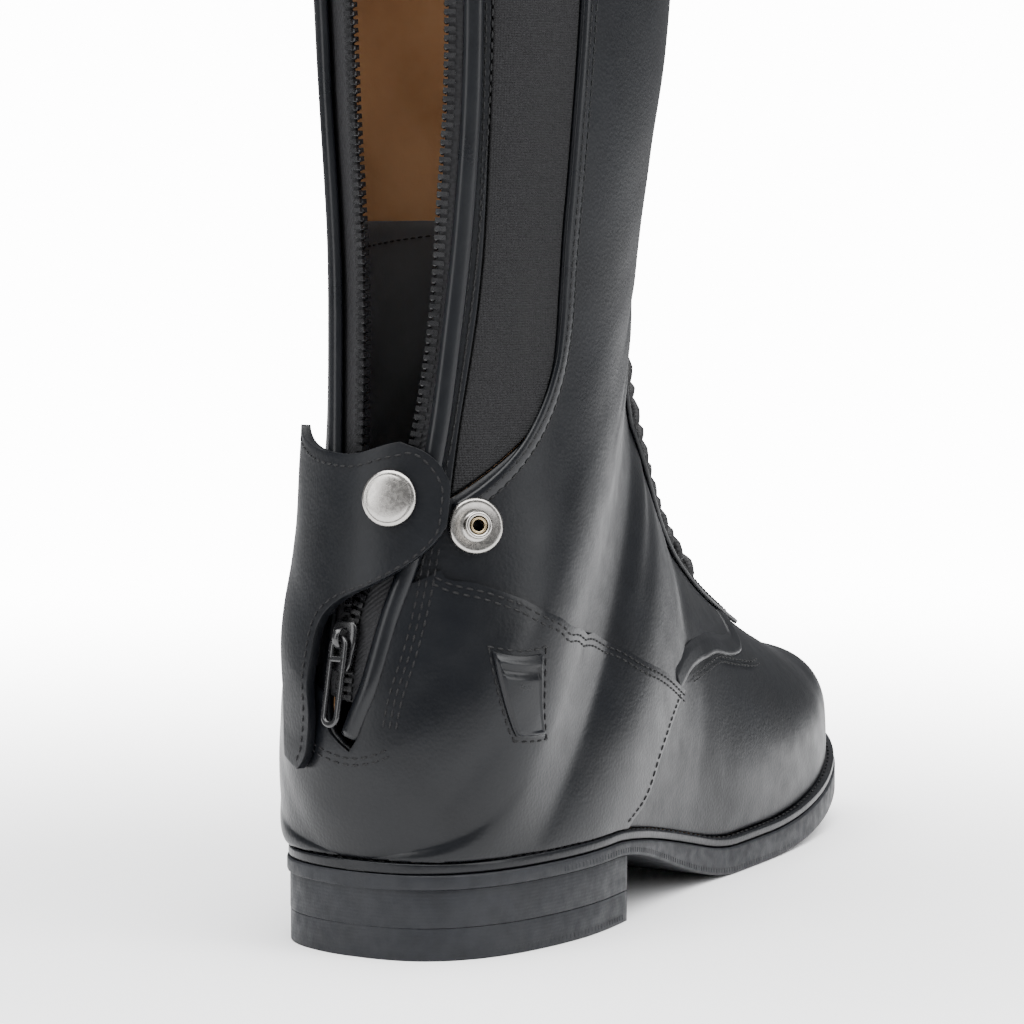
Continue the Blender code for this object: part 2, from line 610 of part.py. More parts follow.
def build_band_and_panel(mats, boot):
    us = np.array([0.980, 0.9985])
    shell("top_band", over_ridge(us, BACK_COL), last_centre(us), GAP + 1.0, GAP, mats["leather"], boot)
    us = np.array([u for u in ROWS_UPPER if PANEL[0] <= u <= PANEL[1]])
    us[0] += 0.0015
    us[-1] -= 0.0015
    rows = []
    for u in us:
        cols = half_columns(u, -1.0)[FRONT_COL:BACK_COL + 1]
        cols[0] += 0.0045
        cols[-1] -= 0.0045
        rows.append(last(u, cols, -1.0))
    shell("elastic_panel", np.array(rows), last_centre(us), -0.5, -1.9, mats["elastic"], boot)


def build_zip(mats, boot):
    us = np.array([0.650, 0.668, 0.686, 0.702, 0.716, 0.728, 0.742, 0.756, 0.780, 0.810, 0.845, 0.885, 0.925, 0.962, 0.997])
    out, low = [-0.2, -0.2, -0.9, -0.9], [-2.8, -2.8, -2.1, -2.1]
    for name, teeth, cut, way in (("zip_lateral", TEETH_LATERAL, CUT_LATERAL, -1), ("zip_medial", TEETH_MEDIAL, CUT_MEDIAL, 1)):
        inner, end = line(teeth, us), line(cut, us) - way * 0.008
        shares = np.stack([inner, inner + way * 0.018, inner + way * 0.024, end], 1)
        points = np.array([around(u, a) for u, a in zip(us, shares)])
        shell(name, points, last_centre(us), out, low, mats["zip"], boot)
    ring = [(-2.7, 0.45), (-2.3, 1.8), (-1.0, 0.45 + ROLL_H), (1.0, 0.45 + ROLL_H), (2.3, 1.8), (2.7, 0.45)]
    for name, table, way, start in (("roll_lateral", ROLL_LATERAL, -1, 0.630), ("roll_medial", ROLL_MEDIAL, 1, 0.688)):
        us = np.array([start, *[u for u in (0.645, 0.657, 0.672) if u > start], 0.691, 0.702, 0.713, 0.728, 0.745, 0.765, 0.795,
                       0.825, 0.86, 0.90, 0.94, 0.97, 0.999])
        frames = [frame(around, u, float(line(table, u)) + way * 0.0225) for u in us]
        centres, normals, _, across = (np.array(part) for part in zip(*frames))
        sweep(name, centres, (across, normals), ring, mats["leather"], boot)


def local_place(u, a):
    """Point and the matrix of the back surface at a station and a share: local Y up the boot, Z outward."""
    p, n, along, _ = frame(around, u, a)
    return placed(p, n, along)


def cutter(name, size, place, guides):
    obj = rounded_box(name, size, 0.02, place, bpy.data.materials["zip"], guides)
    obj.hide_render = True
    obj.display_type = "WIRE"
    return obj


def boolean(obj, other, operation):
    mod = obj.modifiers.new(operation.lower() + "_" + other.name, "BOOLEAN")
    mod.operation = operation
    mod.solver = "EXACT"
    mod.object = other


def build_slider(mats, boot, guides):
    place = local_place(0.672, 0.0365)

    def at(y, z, x=0.0):
        return place @ Matrix.Translation((x, y, z))

    slider = rounded_box("zip_slider", (8.0, 13.0, 1.9), 0.4, at(3.0, 1.05), mats["metal"], boot)
    boolean(slider, cutter("staple", (2.4, 6.0, 3.4), at(5.0, 3.4), guides), "UNION")
    boolean(slider, cutter("tunnel", (6.0, 3.2, 1.9), at(5.0, 3.15), guides), "DIFFERENCE")
    pull = rounded_box("zip_pull", (6.4, 22.6, 1.2), 0.35, at(5.6 - 11.3, 3.1), mats["metal"], boot)
    boolean(pull, cutter("pull_window", (3.4, 3.8, 4.0), at(2.5, 3.1), guides), "DIFFERENCE")
    boolean(pull, cutter("pull_slot", (2.2, 13.5, 4.0), at(-7.8, 3.1), guides), "DIFFERENCE")


def build_flap(mats, boot):
    us = np.array([row[0] for row in FLAP_RIGHT])
    cols = 7
    points, outer, inner = [], [], []
    right, left = line(FLAP_RIGHT, us), line(FLAP_LEFT, us)
    for k, u in enumerate(us):
        a = np.linspace(right[k], left[k], cols)
        drop = 0.016 * np.clip((a - 0.02) / 0.25, 0, 1) * np.clip((u - 0.70) / 0.054, 0, 1)
        points.append(around(u - drop, a))
        lift = 1.9 + 1.6 * smooth((u - 0.615) / 0.04) + 0 * a
        lift = lift + 2.2 * smooth((a - 0.13) / 0.12) * smooth((u - 0.70) / 0.04)
        inner.append(lift)
        outer.append(lift + FLAP_T)
    shell("snap_flap", np.array(points), last_centre(us), np.array(outer), np.array(inner), mats["leather"], boot)


def build_snaps(mats, boot):
    r = SNAP_D / 2
    p, n, along, _ = frame(around, 0.735, -0.062)
    cap = [(0, 0), (r - 0.4, 0), (r, 0.4), (r, 0.8), (r - 0.5, 1.4), (r - 1.8, 1.8), (0, 2.1)]
    lathe("snap_cap", cap, 20, placed(p + n * (3.5 + FLAP_T + 0.5), n, along), mats["metal"], boot)
    p, n, along, _ = frame(around, 0.711, -0.226)
    stud = [
        (1.5, 0), (r - 0.3, 0), (r, 0.5), (r - 0.6, 1.5), (4.0, 0.9), (3.1, 1.6), (3.1, 3.4), (3.5, 4.0),
        (3.0, 4.7), (1.5, 4.3),
    ]
    lathe("snap_stud", stud, 16, placed(p + n * 0.45, n, along), mats["metal"], boot, closed=True)


def build_plaque(mats, boot):
    steps = np.linspace(0, 1, 5)
    tl, tr, br, bl = (np.array(c) for c in PLAQUE)
    rows = []
    for t in steps:
        left, right = tl + (bl - tl) * t, tr + (br - tr) * t
        uv = left + (right - left) * steps[:, None]
        rows.append(last(uv[:, 0], uv[:, 1], -1.0))
    centres = last_centre(tl[0] + (bl[0] - tl[0]) * steps)
    shell("plaque", np.array(rows), centres, 3.0, GAP + OVERLAY + 0.4, mats["leather"], boot)


def ridge_surface(u, s):
    """The surface by signed share from the ridge, lateral negative."""
    s = np.asarray(s, float)
    return last(u, np.abs(s), np.where(s < 0, -1.0, 1.0))


def lace_bar(name, start, end, mats, collection):
    steps = np.linspace(0, 1, 5)
    centres, normals = [], []
    for t in steps:
        p, n, _, _ = frame(ridge_surface, start[0] + (end[0] - start[0]) * t, start[1] + (end[1] - start[1]) * t)
        centres.append(p + n * (GAP + OVERLAY + 0.4 + LACE_D / 2))
        normals.append(n)
    centres, normals = np.array(centres), np.array(normals)
    run = np.gradient(centres, axis=0)
    across = np.cross(run, normals)
    across /= np.linalg.norm(across, axis=1, keepdims=True)
    ring = [(math.cos(t) * LACE_D / 2, math.sin(t) * LACE_D / 2) for t in np.arange(5) * math.pi / 2.5]
    return sweep(name, centres, (across, normals), ring, mats["cord"], collection)


def build_laces(mats, boot, guides):
    e = EYELET_SHARE
    for k, (u0, u1) in enumerate(zip(EYELET_ROWS, EYELET_ROWS[1:])):
        d = 0.16 * (u1 - u0)
        a = lace_bar(f"lace_cross_{k + 1}", (u0 + d, -e), (u1 - d, e), mats, boot)
        b = lace_bar(f"lace_other_{k + 1}", (u0 + d, e), (u1 - d, -e), mats, guides)
        b.hide_render = True
        b.display_type = "WIRE"
        boolean(a, b, "UNION")
    first = EYELET_ROWS[0] - 0.012
    lace_bar("lace_bar", (first, -e), (first, e), mats, boot)
    top = EYELET_ROWS[-1] + 0.014
    knot = lace_bar("lace_knot", (top, -e), (top, e), mats, boot)
    p, n, along, _ = frame(ridge_surface, top, 0.0)
    place = placed(p + n * 3.9, n, along)
    ball = [(0.0, -2.6), (2.6, -1.9), (3.6, 0.0), (2.6, 1.9), (0.0, 2.6)]
    turn = place @ Matrix.Diagonal((1.25, 0.95, 0.85, 1.0))
    core = lathe("knot_core", ball, 10, turn, mats["cord"], guides)
    core.hide_render = True
    core.display_type = "WIRE"
    boolean(knot, core, "UNION")


def main():
    clear_scene()
    boot, guides = make_collections()
    mats = {
        "leather": material("leather", COLOURS["leather"], 0.42),
        "rubber": material("rubber", COLOURS["rubber"], 0.6),
        "elastic": material("elastic", COLOURS["elastic"], 0.85),
        "lining": material("lining", COLOURS["lining"], 0.7),
        "metal": material("metal", COLOURS["metal"], 0.3, 1.0),
        "zip": material("zip", COLOURS["zip"], 0.35),
        "cord": material("cord", COLOURS["cord"], 0.8),
    }
    build_sole(mats, boot)
    build_upper(mats, boot)
    build_counter(mats, boot)
    build_stay_and_tongue(mats, boot)
    build_band_and_panel(mats, boot)
    build_zip(mats, boot)
    build_slider(mats, boot, guides)
    build_flap(mats, boot)
    build_snaps(mats, boot)
    build_plaque(mats, boot)
    build_laces(mats, boot, guides)


main()
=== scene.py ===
"""Looks of a dress riding boot: leather, lining, zip, elastic, snaps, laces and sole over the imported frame.

The frame's origin is at the centre of the heel's bottom face, +X to the toe, +Y to the medial side, +Z up.
Sizes are in millimetres, and meshes are written in metres.
"""
from __future__ import annotations

import logging
import math
from dataclasses import dataclass
from enum import Enum

import bmesh
import bpy
import numpy as np
from mathutils import Matrix, Vector

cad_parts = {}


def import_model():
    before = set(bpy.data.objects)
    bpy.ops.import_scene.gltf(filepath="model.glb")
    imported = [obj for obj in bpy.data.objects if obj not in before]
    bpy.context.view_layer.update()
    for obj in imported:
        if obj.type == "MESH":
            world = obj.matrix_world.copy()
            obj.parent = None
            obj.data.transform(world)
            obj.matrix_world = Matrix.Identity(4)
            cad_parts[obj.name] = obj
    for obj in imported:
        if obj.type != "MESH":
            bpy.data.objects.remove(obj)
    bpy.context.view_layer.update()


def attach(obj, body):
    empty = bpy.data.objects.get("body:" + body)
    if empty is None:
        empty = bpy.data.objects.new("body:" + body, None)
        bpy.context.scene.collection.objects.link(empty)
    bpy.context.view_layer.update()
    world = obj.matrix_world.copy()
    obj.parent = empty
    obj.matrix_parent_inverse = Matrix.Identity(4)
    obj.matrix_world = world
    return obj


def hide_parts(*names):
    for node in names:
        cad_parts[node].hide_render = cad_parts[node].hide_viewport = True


MM = 0.001
BOOT_BODY = "boot"
PULL_BODY = "pull"
LOG = logging.getLogger("riding_boot")

Array = np.ndarray
Piece = bpy.types.Object
Socket = bpy.types.NodeSocket
Material = bpy.types.Material


class Where(Enum):
    """How a share runs over the boot's surface at a station."""

    LATERAL = "from the ridge to the back on the outer side"
    MEDIAL = "from the ridge to the back on the inner side"
    AROUND = "from the back's centre line, medial positive"
    OVER = "from the ridge, medial positive"


class Repeat(Enum):
    """The small shape that a row repeats."""

    BEAD = "rounded bead"
    BLOCK = "block"


def smooth(t: Array | float) -> Array:
    """Smooth step of t from 0 to 1."""
    t = np.clip(t, 0.0, 1.0)
    return t * t * (3.0 - 2.0 * t)


def hermite(xs: Array, ys: Array, slopes: Array, x: Array | float) -> Array:
    """Cubic through a table with the slopes given at its rows.

    Args:
        xs: Stations of the table.
        ys: Values at the stations.
        slopes: Slopes at the stations.
        x: Stations to read.
    Returns:
        The values at each station read.
    """
    x = np.asarray(x, float)
    i = np.clip(np.searchsorted(xs, x, side="right") - 1, 0, len(xs) - 2)
    h = np.diff(xs)[i][..., None]
    t = (x - xs[i])[..., None] / h
    t2, t3 = t * t, t * t * t
    start = (2 * t3 - 3 * t2 + 1) * ys[i] + (t3 - 2 * t2 + t) * h * slopes[i]
    return start + (3 * t2 - 2 * t3) * ys[i + 1] + (t3 - t2) * h * slopes[i + 1]


def monotone(rows: Array | list, x: Array | float) -> Array:
    """Monotone cubic through a table.

    Args:
        rows: Table whose first column is the station.
        x: Stations to read.
    Returns:
        The other columns at each station.
    """
    rows = np.asarray(rows, float)
    xs, ys = rows[:, 0], rows[:, 1:]
    h = np.diff(xs)
    d = np.diff(ys, axis=0) / h[:, None]
    m = np.zeros_like(ys)
    for k in range(1, len(xs) - 1):
        w1, w2 = 2 * h[k] + h[k - 1], h[k] + 2 * h[k - 1]
        same = d[k - 1] * d[k] > 0
        safe_a = np.where(same, d[k - 1], 1.0)
        safe_b = np.where(same, d[k], 1.0)
        m[k] = np.where(same, (w1 + w2) / (w1 / safe_a + w2 / safe_b), 0.0)
    m[0], m[-1] = d[0], d[-1]
    return hermite(xs, ys, m, x)


def line(rows: list, x: Array | float) -> Array:
    """First value column of a table at the stations x."""
    return monotone(rows, x)[..., 0]


def lengths(points: Array) -> Array:
    """Length along a row of points, from its start to each point."""
    return np.concatenate([[0.0], np.cumsum(np.linalg.norm(np.diff(points, axis=0), axis=1))])


def unit(rows: Array) -> Array:
    """The rows as unit vectors."""
    return rows / np.maximum(np.linalg.norm(rows, axis=-1, keepdims=True), 1e-9)


def read_at(at: Array, t: Array, rows: Array) -> Array:
    """Rows known at the lengths t, read at other lengths."""
    return np.stack([np.interp(at, t, column) for column in rows.T], 1)


def oval(across: float, out: float, count: int, power: tuple = (1.0, 1.0)) -> list:
    """Profile of a round, flattened or squarish section.

    Args:
        across: Half of its width.
        out: Half of its height.
        count: Number of points.
        power: Powers of the width and the height, under 1 for a squarish section.
    Returns:
        Points of (across, out).
    """
    angles = np.arange(count) * 2 * math.pi / count
    pairs = ((math.cos(a), math.sin(a)) for a in angles)
    return [
        (across * np.sign(c) * abs(c) ** power[0], out * np.sign(q) * abs(q) ** power[1]) for c, q in pairs
    ]


class BootForm:
    """The boot's outer surface and its sole, worked out from the same sizes as the solids."""

    SOLE_L = 284.0
    BALL_W = 95.0
    HEEL_L = 78.0
    SWING = 20.0
    BOOT_H = 476.0
    HEEL_STACK = 18.5
    HEEL_LIFT = 8.5
    EDGE_HEEL = 6.7
    EDGE_FORE = 10.9
    WELT_T = 2.6
    TOE_SPRING = 17.0
    WALL = 2.2
    GAP = 0.3
    SEAT = 0.45
    OVERLAY = 1.2
    LEDGE = 3.2
    X_BACK = -HEEL_L / 2
    X_TOE = X_BACK + SOLE_L
    BREAST = HEEL_L / 2
    FLAT_A = X_BACK + 0.56 * SOLE_L
    FLAT_B = X_BACK + 0.645 * SOLE_L
    HEEL_ROW = 14 / 26
    APEX = 0.62
    HEEL_SOFT = 0.030
    SOFT_STEPS = (
        (-2.0, 0.06), (-1.5, 0.12), (-1.0, 0.13), (-0.5, 0.12), (0.0, 0.14), (0.5, 0.12), (1.0, 0.13),
        (1.5, 0.12), (2.0, 0.06),
    )
    # Plan outline of the sole: station, lateral and medial edge as shares of the ball width
    OUTLINE = np.array([
        (0.00, 0.000, 0.000), (0.04, -0.122, 0.112), (0.09, -0.226, 0.236), (0.15, -0.316, 0.330),
        (0.22, -0.382, 0.394), (0.30, -0.412, 0.410), (0.36, -0.388, 0.395), (0.42, -0.345, 0.385),
        (0.48, -0.318, 0.440), (0.54, -0.308, 0.520), (0.60, -0.292, 0.598), (0.66, -0.266, 0.648),
        (0.72, -0.222, 0.660), (0.78, -0.158, 0.638), (0.84, -0.080, 0.585), (0.90, 0.010, 0.495),
        (0.95, 0.100, 0.375), (1.00, 0.210, 0.210),
    ])
    # Sections from toe to collar: plan station, back_x of the heel's length, back_z of the boot's height,
    # ridge_x of the sole's length, ridge_z of the boot's height, ridge_y of the swing, lateral and medial
    # width of the ball's width, widest height, and the powers above and below it
    SECTIONS = np.array([
        (1.00, 0.000, 0.0000, 0.9859, 0.0672, 0.9975, 0.210, 0.210, 0.60, 2.00, 2.00),
        (0.95, 0.000, 0.0000, 0.9789, 0.0945, 0.975, 0.084, 0.347, 0.62, 2.20, 2.00),
        (0.90, 0.000, 0.0000, 0.9577, 0.1076, 0.950, 0.018, 0.458, 0.62, 2.30, 2.00),
        (0.84, 0.000, 0.0000, 0.9137, 0.1155, 0.925, -0.066, 0.553, 0.62, 2.30, 2.10),
        (0.77, 0.000, 0.0000, 0.8539, 0.1235, 0.875, -0.146, 0.610, 0.62, 1.95, 2.40),
        (0.69, 0.000, 0.0000, 0.7887, 0.1376, 0.750, -0.224, 0.626, 0.66, 1.78, 2.50),
        (0.61, 0.000, 0.0000, 0.7077, 0.1597, 0.550, -0.272, 0.578, 0.72, 1.62, 2.60),
        (0.53, 0.000, 0.0000, 0.6268, 0.1859, 0.375, -0.300, 0.488, 0.78, 1.58, 2.50),
        (0.46, 0.000, 0.0000, 0.5616, 0.2153, 0.250, -0.305, 0.424, 0.80, 1.58, 2.30),
        (0.38, 0.000, 0.0000, 0.5141, 0.2468, 0.160, -0.316, 0.397, 0.80, 1.60, 2.20),
        (0.30, 0.000, 0.0000, 0.4842, 0.2752, 0.100, -0.338, 0.393, 0.80, 1.62, 2.00),
        (0.22, 0.000, 0.0000, 0.4665, 0.3000, 0.070, -0.356, 0.399, 0.78, 1.65, 2.00),
        (0.14, 0.000, 0.0000, 0.4542, 0.3200, 0.050, -0.373, 0.408, 0.76, 1.68, 2.00),
        (0.07, 0.000, 0.0000, 0.4437, 0.3357, 0.035, -0.387, 0.422, 0.73, 1.70, 2.00),
        (0.00, 0.000, 0.0000, 0.4366, 0.3477, 0.025, -0.399, 0.431, 0.70, 1.72, 2.05),
        (0.00, -0.038, 0.0252, 0.4318, 0.3587, 0.015, -0.407, 0.424, 0.67, 1.78, 2.10),
        (0.00, -0.046, 0.0546, 0.4312, 0.3723, 0.000, -0.410, 0.406, 0.64, 1.78, 2.10),
        (0.00, -0.029, 0.0882, 0.4308, 0.3904, 0.000, -0.405, 0.385, 0.60, 1.78, 2.00),
        (0.00, 0.019, 0.1303, 0.4319, 0.4126, 0.000, -0.398, 0.370, 0.56, 1.78, 2.00),
        (0.00, 0.073, 0.1849, 0.4328, 0.4414, 0.000, -0.401, 0.373, 0.53, 1.85, 2.00),
        (0.00, 0.118, 0.2479, 0.4355, 0.4801, 0.000, -0.416, 0.395, 0.51, 1.95, 2.00),
        (0.00, 0.146, 0.3256, 0.4466, 0.5340, 0.000, -0.446, 0.430, 0.50, 2.00, 2.00),
        (0.00, 0.141, 0.4202, 0.4545, 0.6121, 0.000, -0.476, 0.473, 0.50, 2.00, 2.00),
        (0.00, 0.103, 0.5462, 0.4665, 0.6933, 0.000, -0.503, 0.503, 0.50, 2.00, 2.00),
        (0.00, 0.045, 0.6933, 0.4754, 0.8088, 0.000, -0.533, 0.533, 0.50, 2.00, 2.00),
        (0.00, 0.006, 0.8403, 0.4806, 0.9139, 0.000, -0.549, 0.549, 0.50, 2.00, 2.00),
        (0.00, -0.006, 0.9454, 0.4842, 0.9989, 0.000, -0.558, 0.558, 0.50, 2.00, 2.00),
    ])

    def __init__(self) -> None:
        """Puts the evenly spaced stations before the sections."""
        self.sections = np.column_stack(
            [np.arange(len(self.SECTIONS)) / (len(self.SECTIONS) - 1), self.SECTIONS]
        )

    def outline(self, w: Array, by: float = 0.0) -> tuple[Array, Array, Array]:
        """Plan of the sole, moved in by some millimetres.

        Args:
            w: Stations, 0 at the heel's back and 1 at the toe tip.
            by: How far the edge moves in.
        Returns:
            x, lateral y and medial y.
        """
        w = np.asarray(w, float)
        xs, ys = self.OUTLINE[:, 0], self.OUTLINE[:, 1:] * self.BALL_W
        y = hermite(xs, ys, np.gradient(ys, xs, axis=0), w)
        mid = (y[..., 0] + y[..., 1]) / 2
        half = (y[..., 1] - y[..., 0]) / 2 * (1 - by / (self.BALL_W / 2))
        x = self.X_BACK + by + (self.SOLE_L - 2 * by) * (1 - np.cos(np.pi * w)) / 2
        return x, mid - half, mid + half

    def sole_bottom(self, x: Array) -> Array:
        """Height of the outsole's underside."""
        x = np.asarray(x, float)
        start = self.BREAST - 8
        arch = self.HEEL_STACK * (1 - smooth((x - start) / (self.FLAT_A - start)))
        return arch + self.TOE_SPRING * np.clip((x - self.FLAT_B) / (self.X_TOE - self.FLAT_B), 0, 1) ** 1.8

    def sole_top(self, x: Array) -> Array:
        """Height of the welt's top, which the upper stands on."""
        edge = self.EDGE_HEEL + (self.EDGE_FORE - self.EDGE_HEEL) * smooth(
            (np.asarray(x, float) - self.BREAST) / 60
        )
        return self.sole_bottom(x) + edge

    def last(self, u: Array, v: Array, side: Array) -> Array:
        """Point of the upper's outside.

        Args:
            u: Station, toe to collar.
            v: Share, 0 at the ridge and 1 at the feather line or the back.
            side: -1 lateral, 1 medial.
        Returns:
            Points in millimetres.
        """
        u, v, side = np.broadcast_arrays(
            np.asarray(u, float), np.asarray(v, float), np.asarray(side, float),
        )
        reach = self.HEEL_SOFT * np.exp(-((u - self.HEEL_ROW) / 0.075) ** 2)
        reach = reach * (1 - smooth((v - 0.70) / 0.30)) * smooth(v / 0.10)
        total = np.zeros(u.shape + (3,))
        for step, weight in self.SOFT_STEPS:
            total += weight * self.ruled(np.clip(u + step * reach, 0.0, 1.0), v, side)
        return total

    def ruled(self, u: Array, v: Array, side: Array) -> Array:
        """The surface from the section table alone."""
        plan, dx, dz, rx, rz, ry, lat, med, wide, top, low = np.moveaxis(monotone(self.sections, u), -1, 0)
        plan = np.where(plan < 1e-6, 0.0, plan)
        _, o_lat, o_med = self.outline(plan)
        base_x = self.X_BACK + self.LEDGE + (self.SOLE_L - 2 * self.LEDGE) * (1 - np.cos(np.pi * plan)) / 2
        mid, half = (o_lat + o_med) / 2, (o_med - o_lat) / 2 * (1 - self.LEDGE / (self.BALL_W / 2))
        feather = mid + side * half
        bx, bz = base_x + dx * self.HEEL_L, self.sole_top(base_x) + self.SEAT + dz * self.BOOT_H
        rx, rz, ry = self.X_BACK + rx * self.SOLE_L, rz * self.BOOT_H, ry * self.SWING
        gap = side * (np.where(side < 0, lat, med) * self.BALL_W - feather)
        widest = feather + side * np.where(plan > 0, np.maximum(gap, np.minimum(0.8, half)), gap)
        a = np.clip(v * np.pi, 0, np.pi / 2)
        b = np.clip(v * np.pi - np.pi / 2, 0, np.pi / 2)
        cos_a, cos_b = np.maximum(np.cos(a), 0.0), np.maximum(np.cos(b), 0.0)
        cos_b = np.where(v >= 1.0, 0.0, cos_b)
        y_up, s_up = ry + (widest - ry) * np.sin(a) ** (2 / top), wide * (1 - cos_a ** (2 / top))
        y_low = feather + (widest - feather) * cos_b ** (2 / low)
        s_low = wide + (1 - wide) * np.sin(b) ** (2 / low)
        y, s = np.where(v <= 0.5, y_up, y_low), np.where(v <= 0.5, s_up, s_low)
        return np.stack([rx + s * (bx - rx), y, rz + s * (bz - rz)], -1)

    def centre(self, u: Array) -> Array:
        """Middle of the section at a station."""
        return (self.last(u, 0.5, -1) + self.last(u, 0.5, 1)) / 2

    def point(self, where: Where, u: Array, s: Array) -> Array:
        """Surface point by station and share, the share read as where says."""
        s = np.asarray(s, float)
        if where is Where.LATERAL:
            return self.last(u, s, -1.0)
        if where is Where.MEDIAL:
            return self.last(u, s, 1.0)
        side = np.where(s < 0, -1.0, 1.0)
        return self.last(u, 1 - np.abs(s) if where is Where.AROUND else np.abs(s), side)

    def frame(self, where: Where, u: Array, s: Array) -> tuple[Array, ...]:
        """The surface at some spots.

        Args:
            where: How the shares run.
            u: Stations.
            s: Shares.
        Returns:
            Points, outward normals, and the rates of change along the station and the share.
        """
        u, s = np.broadcast_arrays(np.asarray(u, float), np.asarray(s, float))
        du, ds = 0.003, 0.004
        p = self.point(where, u, s)
        high, low = np.minimum(u + du, 1.0), np.maximum(u - du, 0.0)
        along = (self.point(where, high, s) - self.point(where, low, s)) / (high - low)[..., None]
        across = (self.point(where, u, s + ds) - self.point(where, u, s - ds)) / (2 * ds)
        n = unit(np.cross(along, across))
        inward = np.sum(n * (p - self.centre(u)), axis=-1, keepdims=True) < 0
        return p, np.where(inward, -n, n), along, across


FORM = BootForm()


class Keys:
    """Borders of the pieces, station against share, the same as the solids'."""

    FRONT = [
        (0.0, 0.50), (0.30, 0.43), (0.331, 0.394), (0.405, 0.391), (0.438, 0.396), (0.470, 0.405),
        (0.497, 0.420), (0.528, 0.439), (0.558, 0.465), (0.578, 0.490), (0.600, 0.529), (0.634, 0.608),
        (0.668, 0.701), (0.686, 0.765), (0.702, 0.835), (0.715, 0.755), (0.728, 0.665), (0.750, 0.632),
        (0.772, 0.638), (0.80, 0.648), (0.85, 0.642), (1.0, 0.640),
    ]
    BACK = [
        (0.0, 0.80), (0.345, 0.76), (0.437, 0.76), (0.600, 0.80), (0.652, 0.84), (0.686, 0.85),
        (0.702, 0.862), (0.728, 0.832), (0.750, 0.826), (0.789, 0.808), (0.82, 0.804), (1.0, 0.800),
    ]
    FRONT_MEDIAL = [
        (0.0, 0.50), (0.30, 0.43), (0.345, 0.394), (0.438, 0.396), (0.497, 0.420), (0.558, 0.465),
        (0.600, 0.529), (0.634, 0.600), (0.650, 0.632), (0.668, 0.650), (0.702, 0.648), (0.75, 0.640),
        (1.0, 0.640),
    ]
    BACK_MEDIAL = [(0.0, 0.80), (0.60, 0.80), (1.0, 0.800)]
    COUNTER_SEAM = [
        (0.38, 0.328), (0.39, 0.331), (0.42, 0.340), (0.46, 0.347), (0.5, 0.350), (0.65, 0.351),
        (0.75, 0.354), (0.85, 0.359), (1.0, 0.361),
    ]
    CUT_LATERAL = [
        (0.62, 0.0), (0.634, -0.026), (0.650, -0.036), (0.668, -0.053), (0.691, -0.076), (0.713, -0.109),
        (0.754, -0.143), (0.794, -0.158), (0.844, -0.175), (1.0, -0.180),
    ]
    CUT_MEDIAL = [
        (0.62, 0.0), (0.634, 0.066), (0.650, 0.082), (0.668, 0.090), (0.691, 0.096), (0.713, 0.105),
        (0.756, 0.135), (0.813, 0.148), (0.846, 0.160), (1.0, 0.170),
    ]
    ROLL_LATERAL = [
        (0.628, 0.026), (0.640, 0.012), (0.657, -0.013), (0.691, -0.046), (0.713, -0.079),
        (0.754, -0.113), (0.794, -0.128), (0.844, -0.145), (1.0, -0.150),
    ]
    ROLL_MEDIAL = [
        (0.668, 0.074), (0.70, 0.080), (0.756, 0.105), (0.813, 0.118), (0.846, 0.130), (1.0, 0.140),
    ]
    TEETH_LATERAL = [
        (0.628, 0.034), (0.690, 0.034), (0.705, 0.012), (0.72, -0.020), (0.754, -0.078), (0.781, -0.098),
        (0.815, -0.108), (0.844, -0.119), (1.0, -0.125),
    ]
    TEETH_MEDIAL = [
        (0.628, 0.039), (0.690, 0.039), (0.72, 0.042), (0.754, 0.046), (0.813, 0.061), (0.846, 0.073),
        (1.0, 0.085),
    ]
    FLAP_RIGHT = [
        (0.598, 0.115), (0.606, 0.098), (0.615, 0.088), (0.635, 0.083), (0.657, 0.092), (0.678, 0.088),
        (0.688, 0.072), (0.695, 0.046), (0.701, 0.005), (0.705, -0.045), (0.709, -0.100), (0.713, -0.145),
        (0.719, -0.168), (0.731, -0.168), (0.741, -0.148), (0.749, -0.113), (0.754, -0.070),
    ]
    FLAP_LEFT = [
        (0.598, 0.162), (0.63, 0.188), (0.652, 0.235), (0.67, 0.262), (0.70, 0.270), (0.754, 0.270),
    ]
    EYELET_ROWS = [0.280, 0.305, 0.332, 0.362, 0.397, 0.442, 0.505, 0.580]
    EYELET_SHARE = 0.112
    THROAT_ROWS = (0.235, 0.62)
    THROAT_SHARE = 0.070
    STAY_SHARE = 0.150


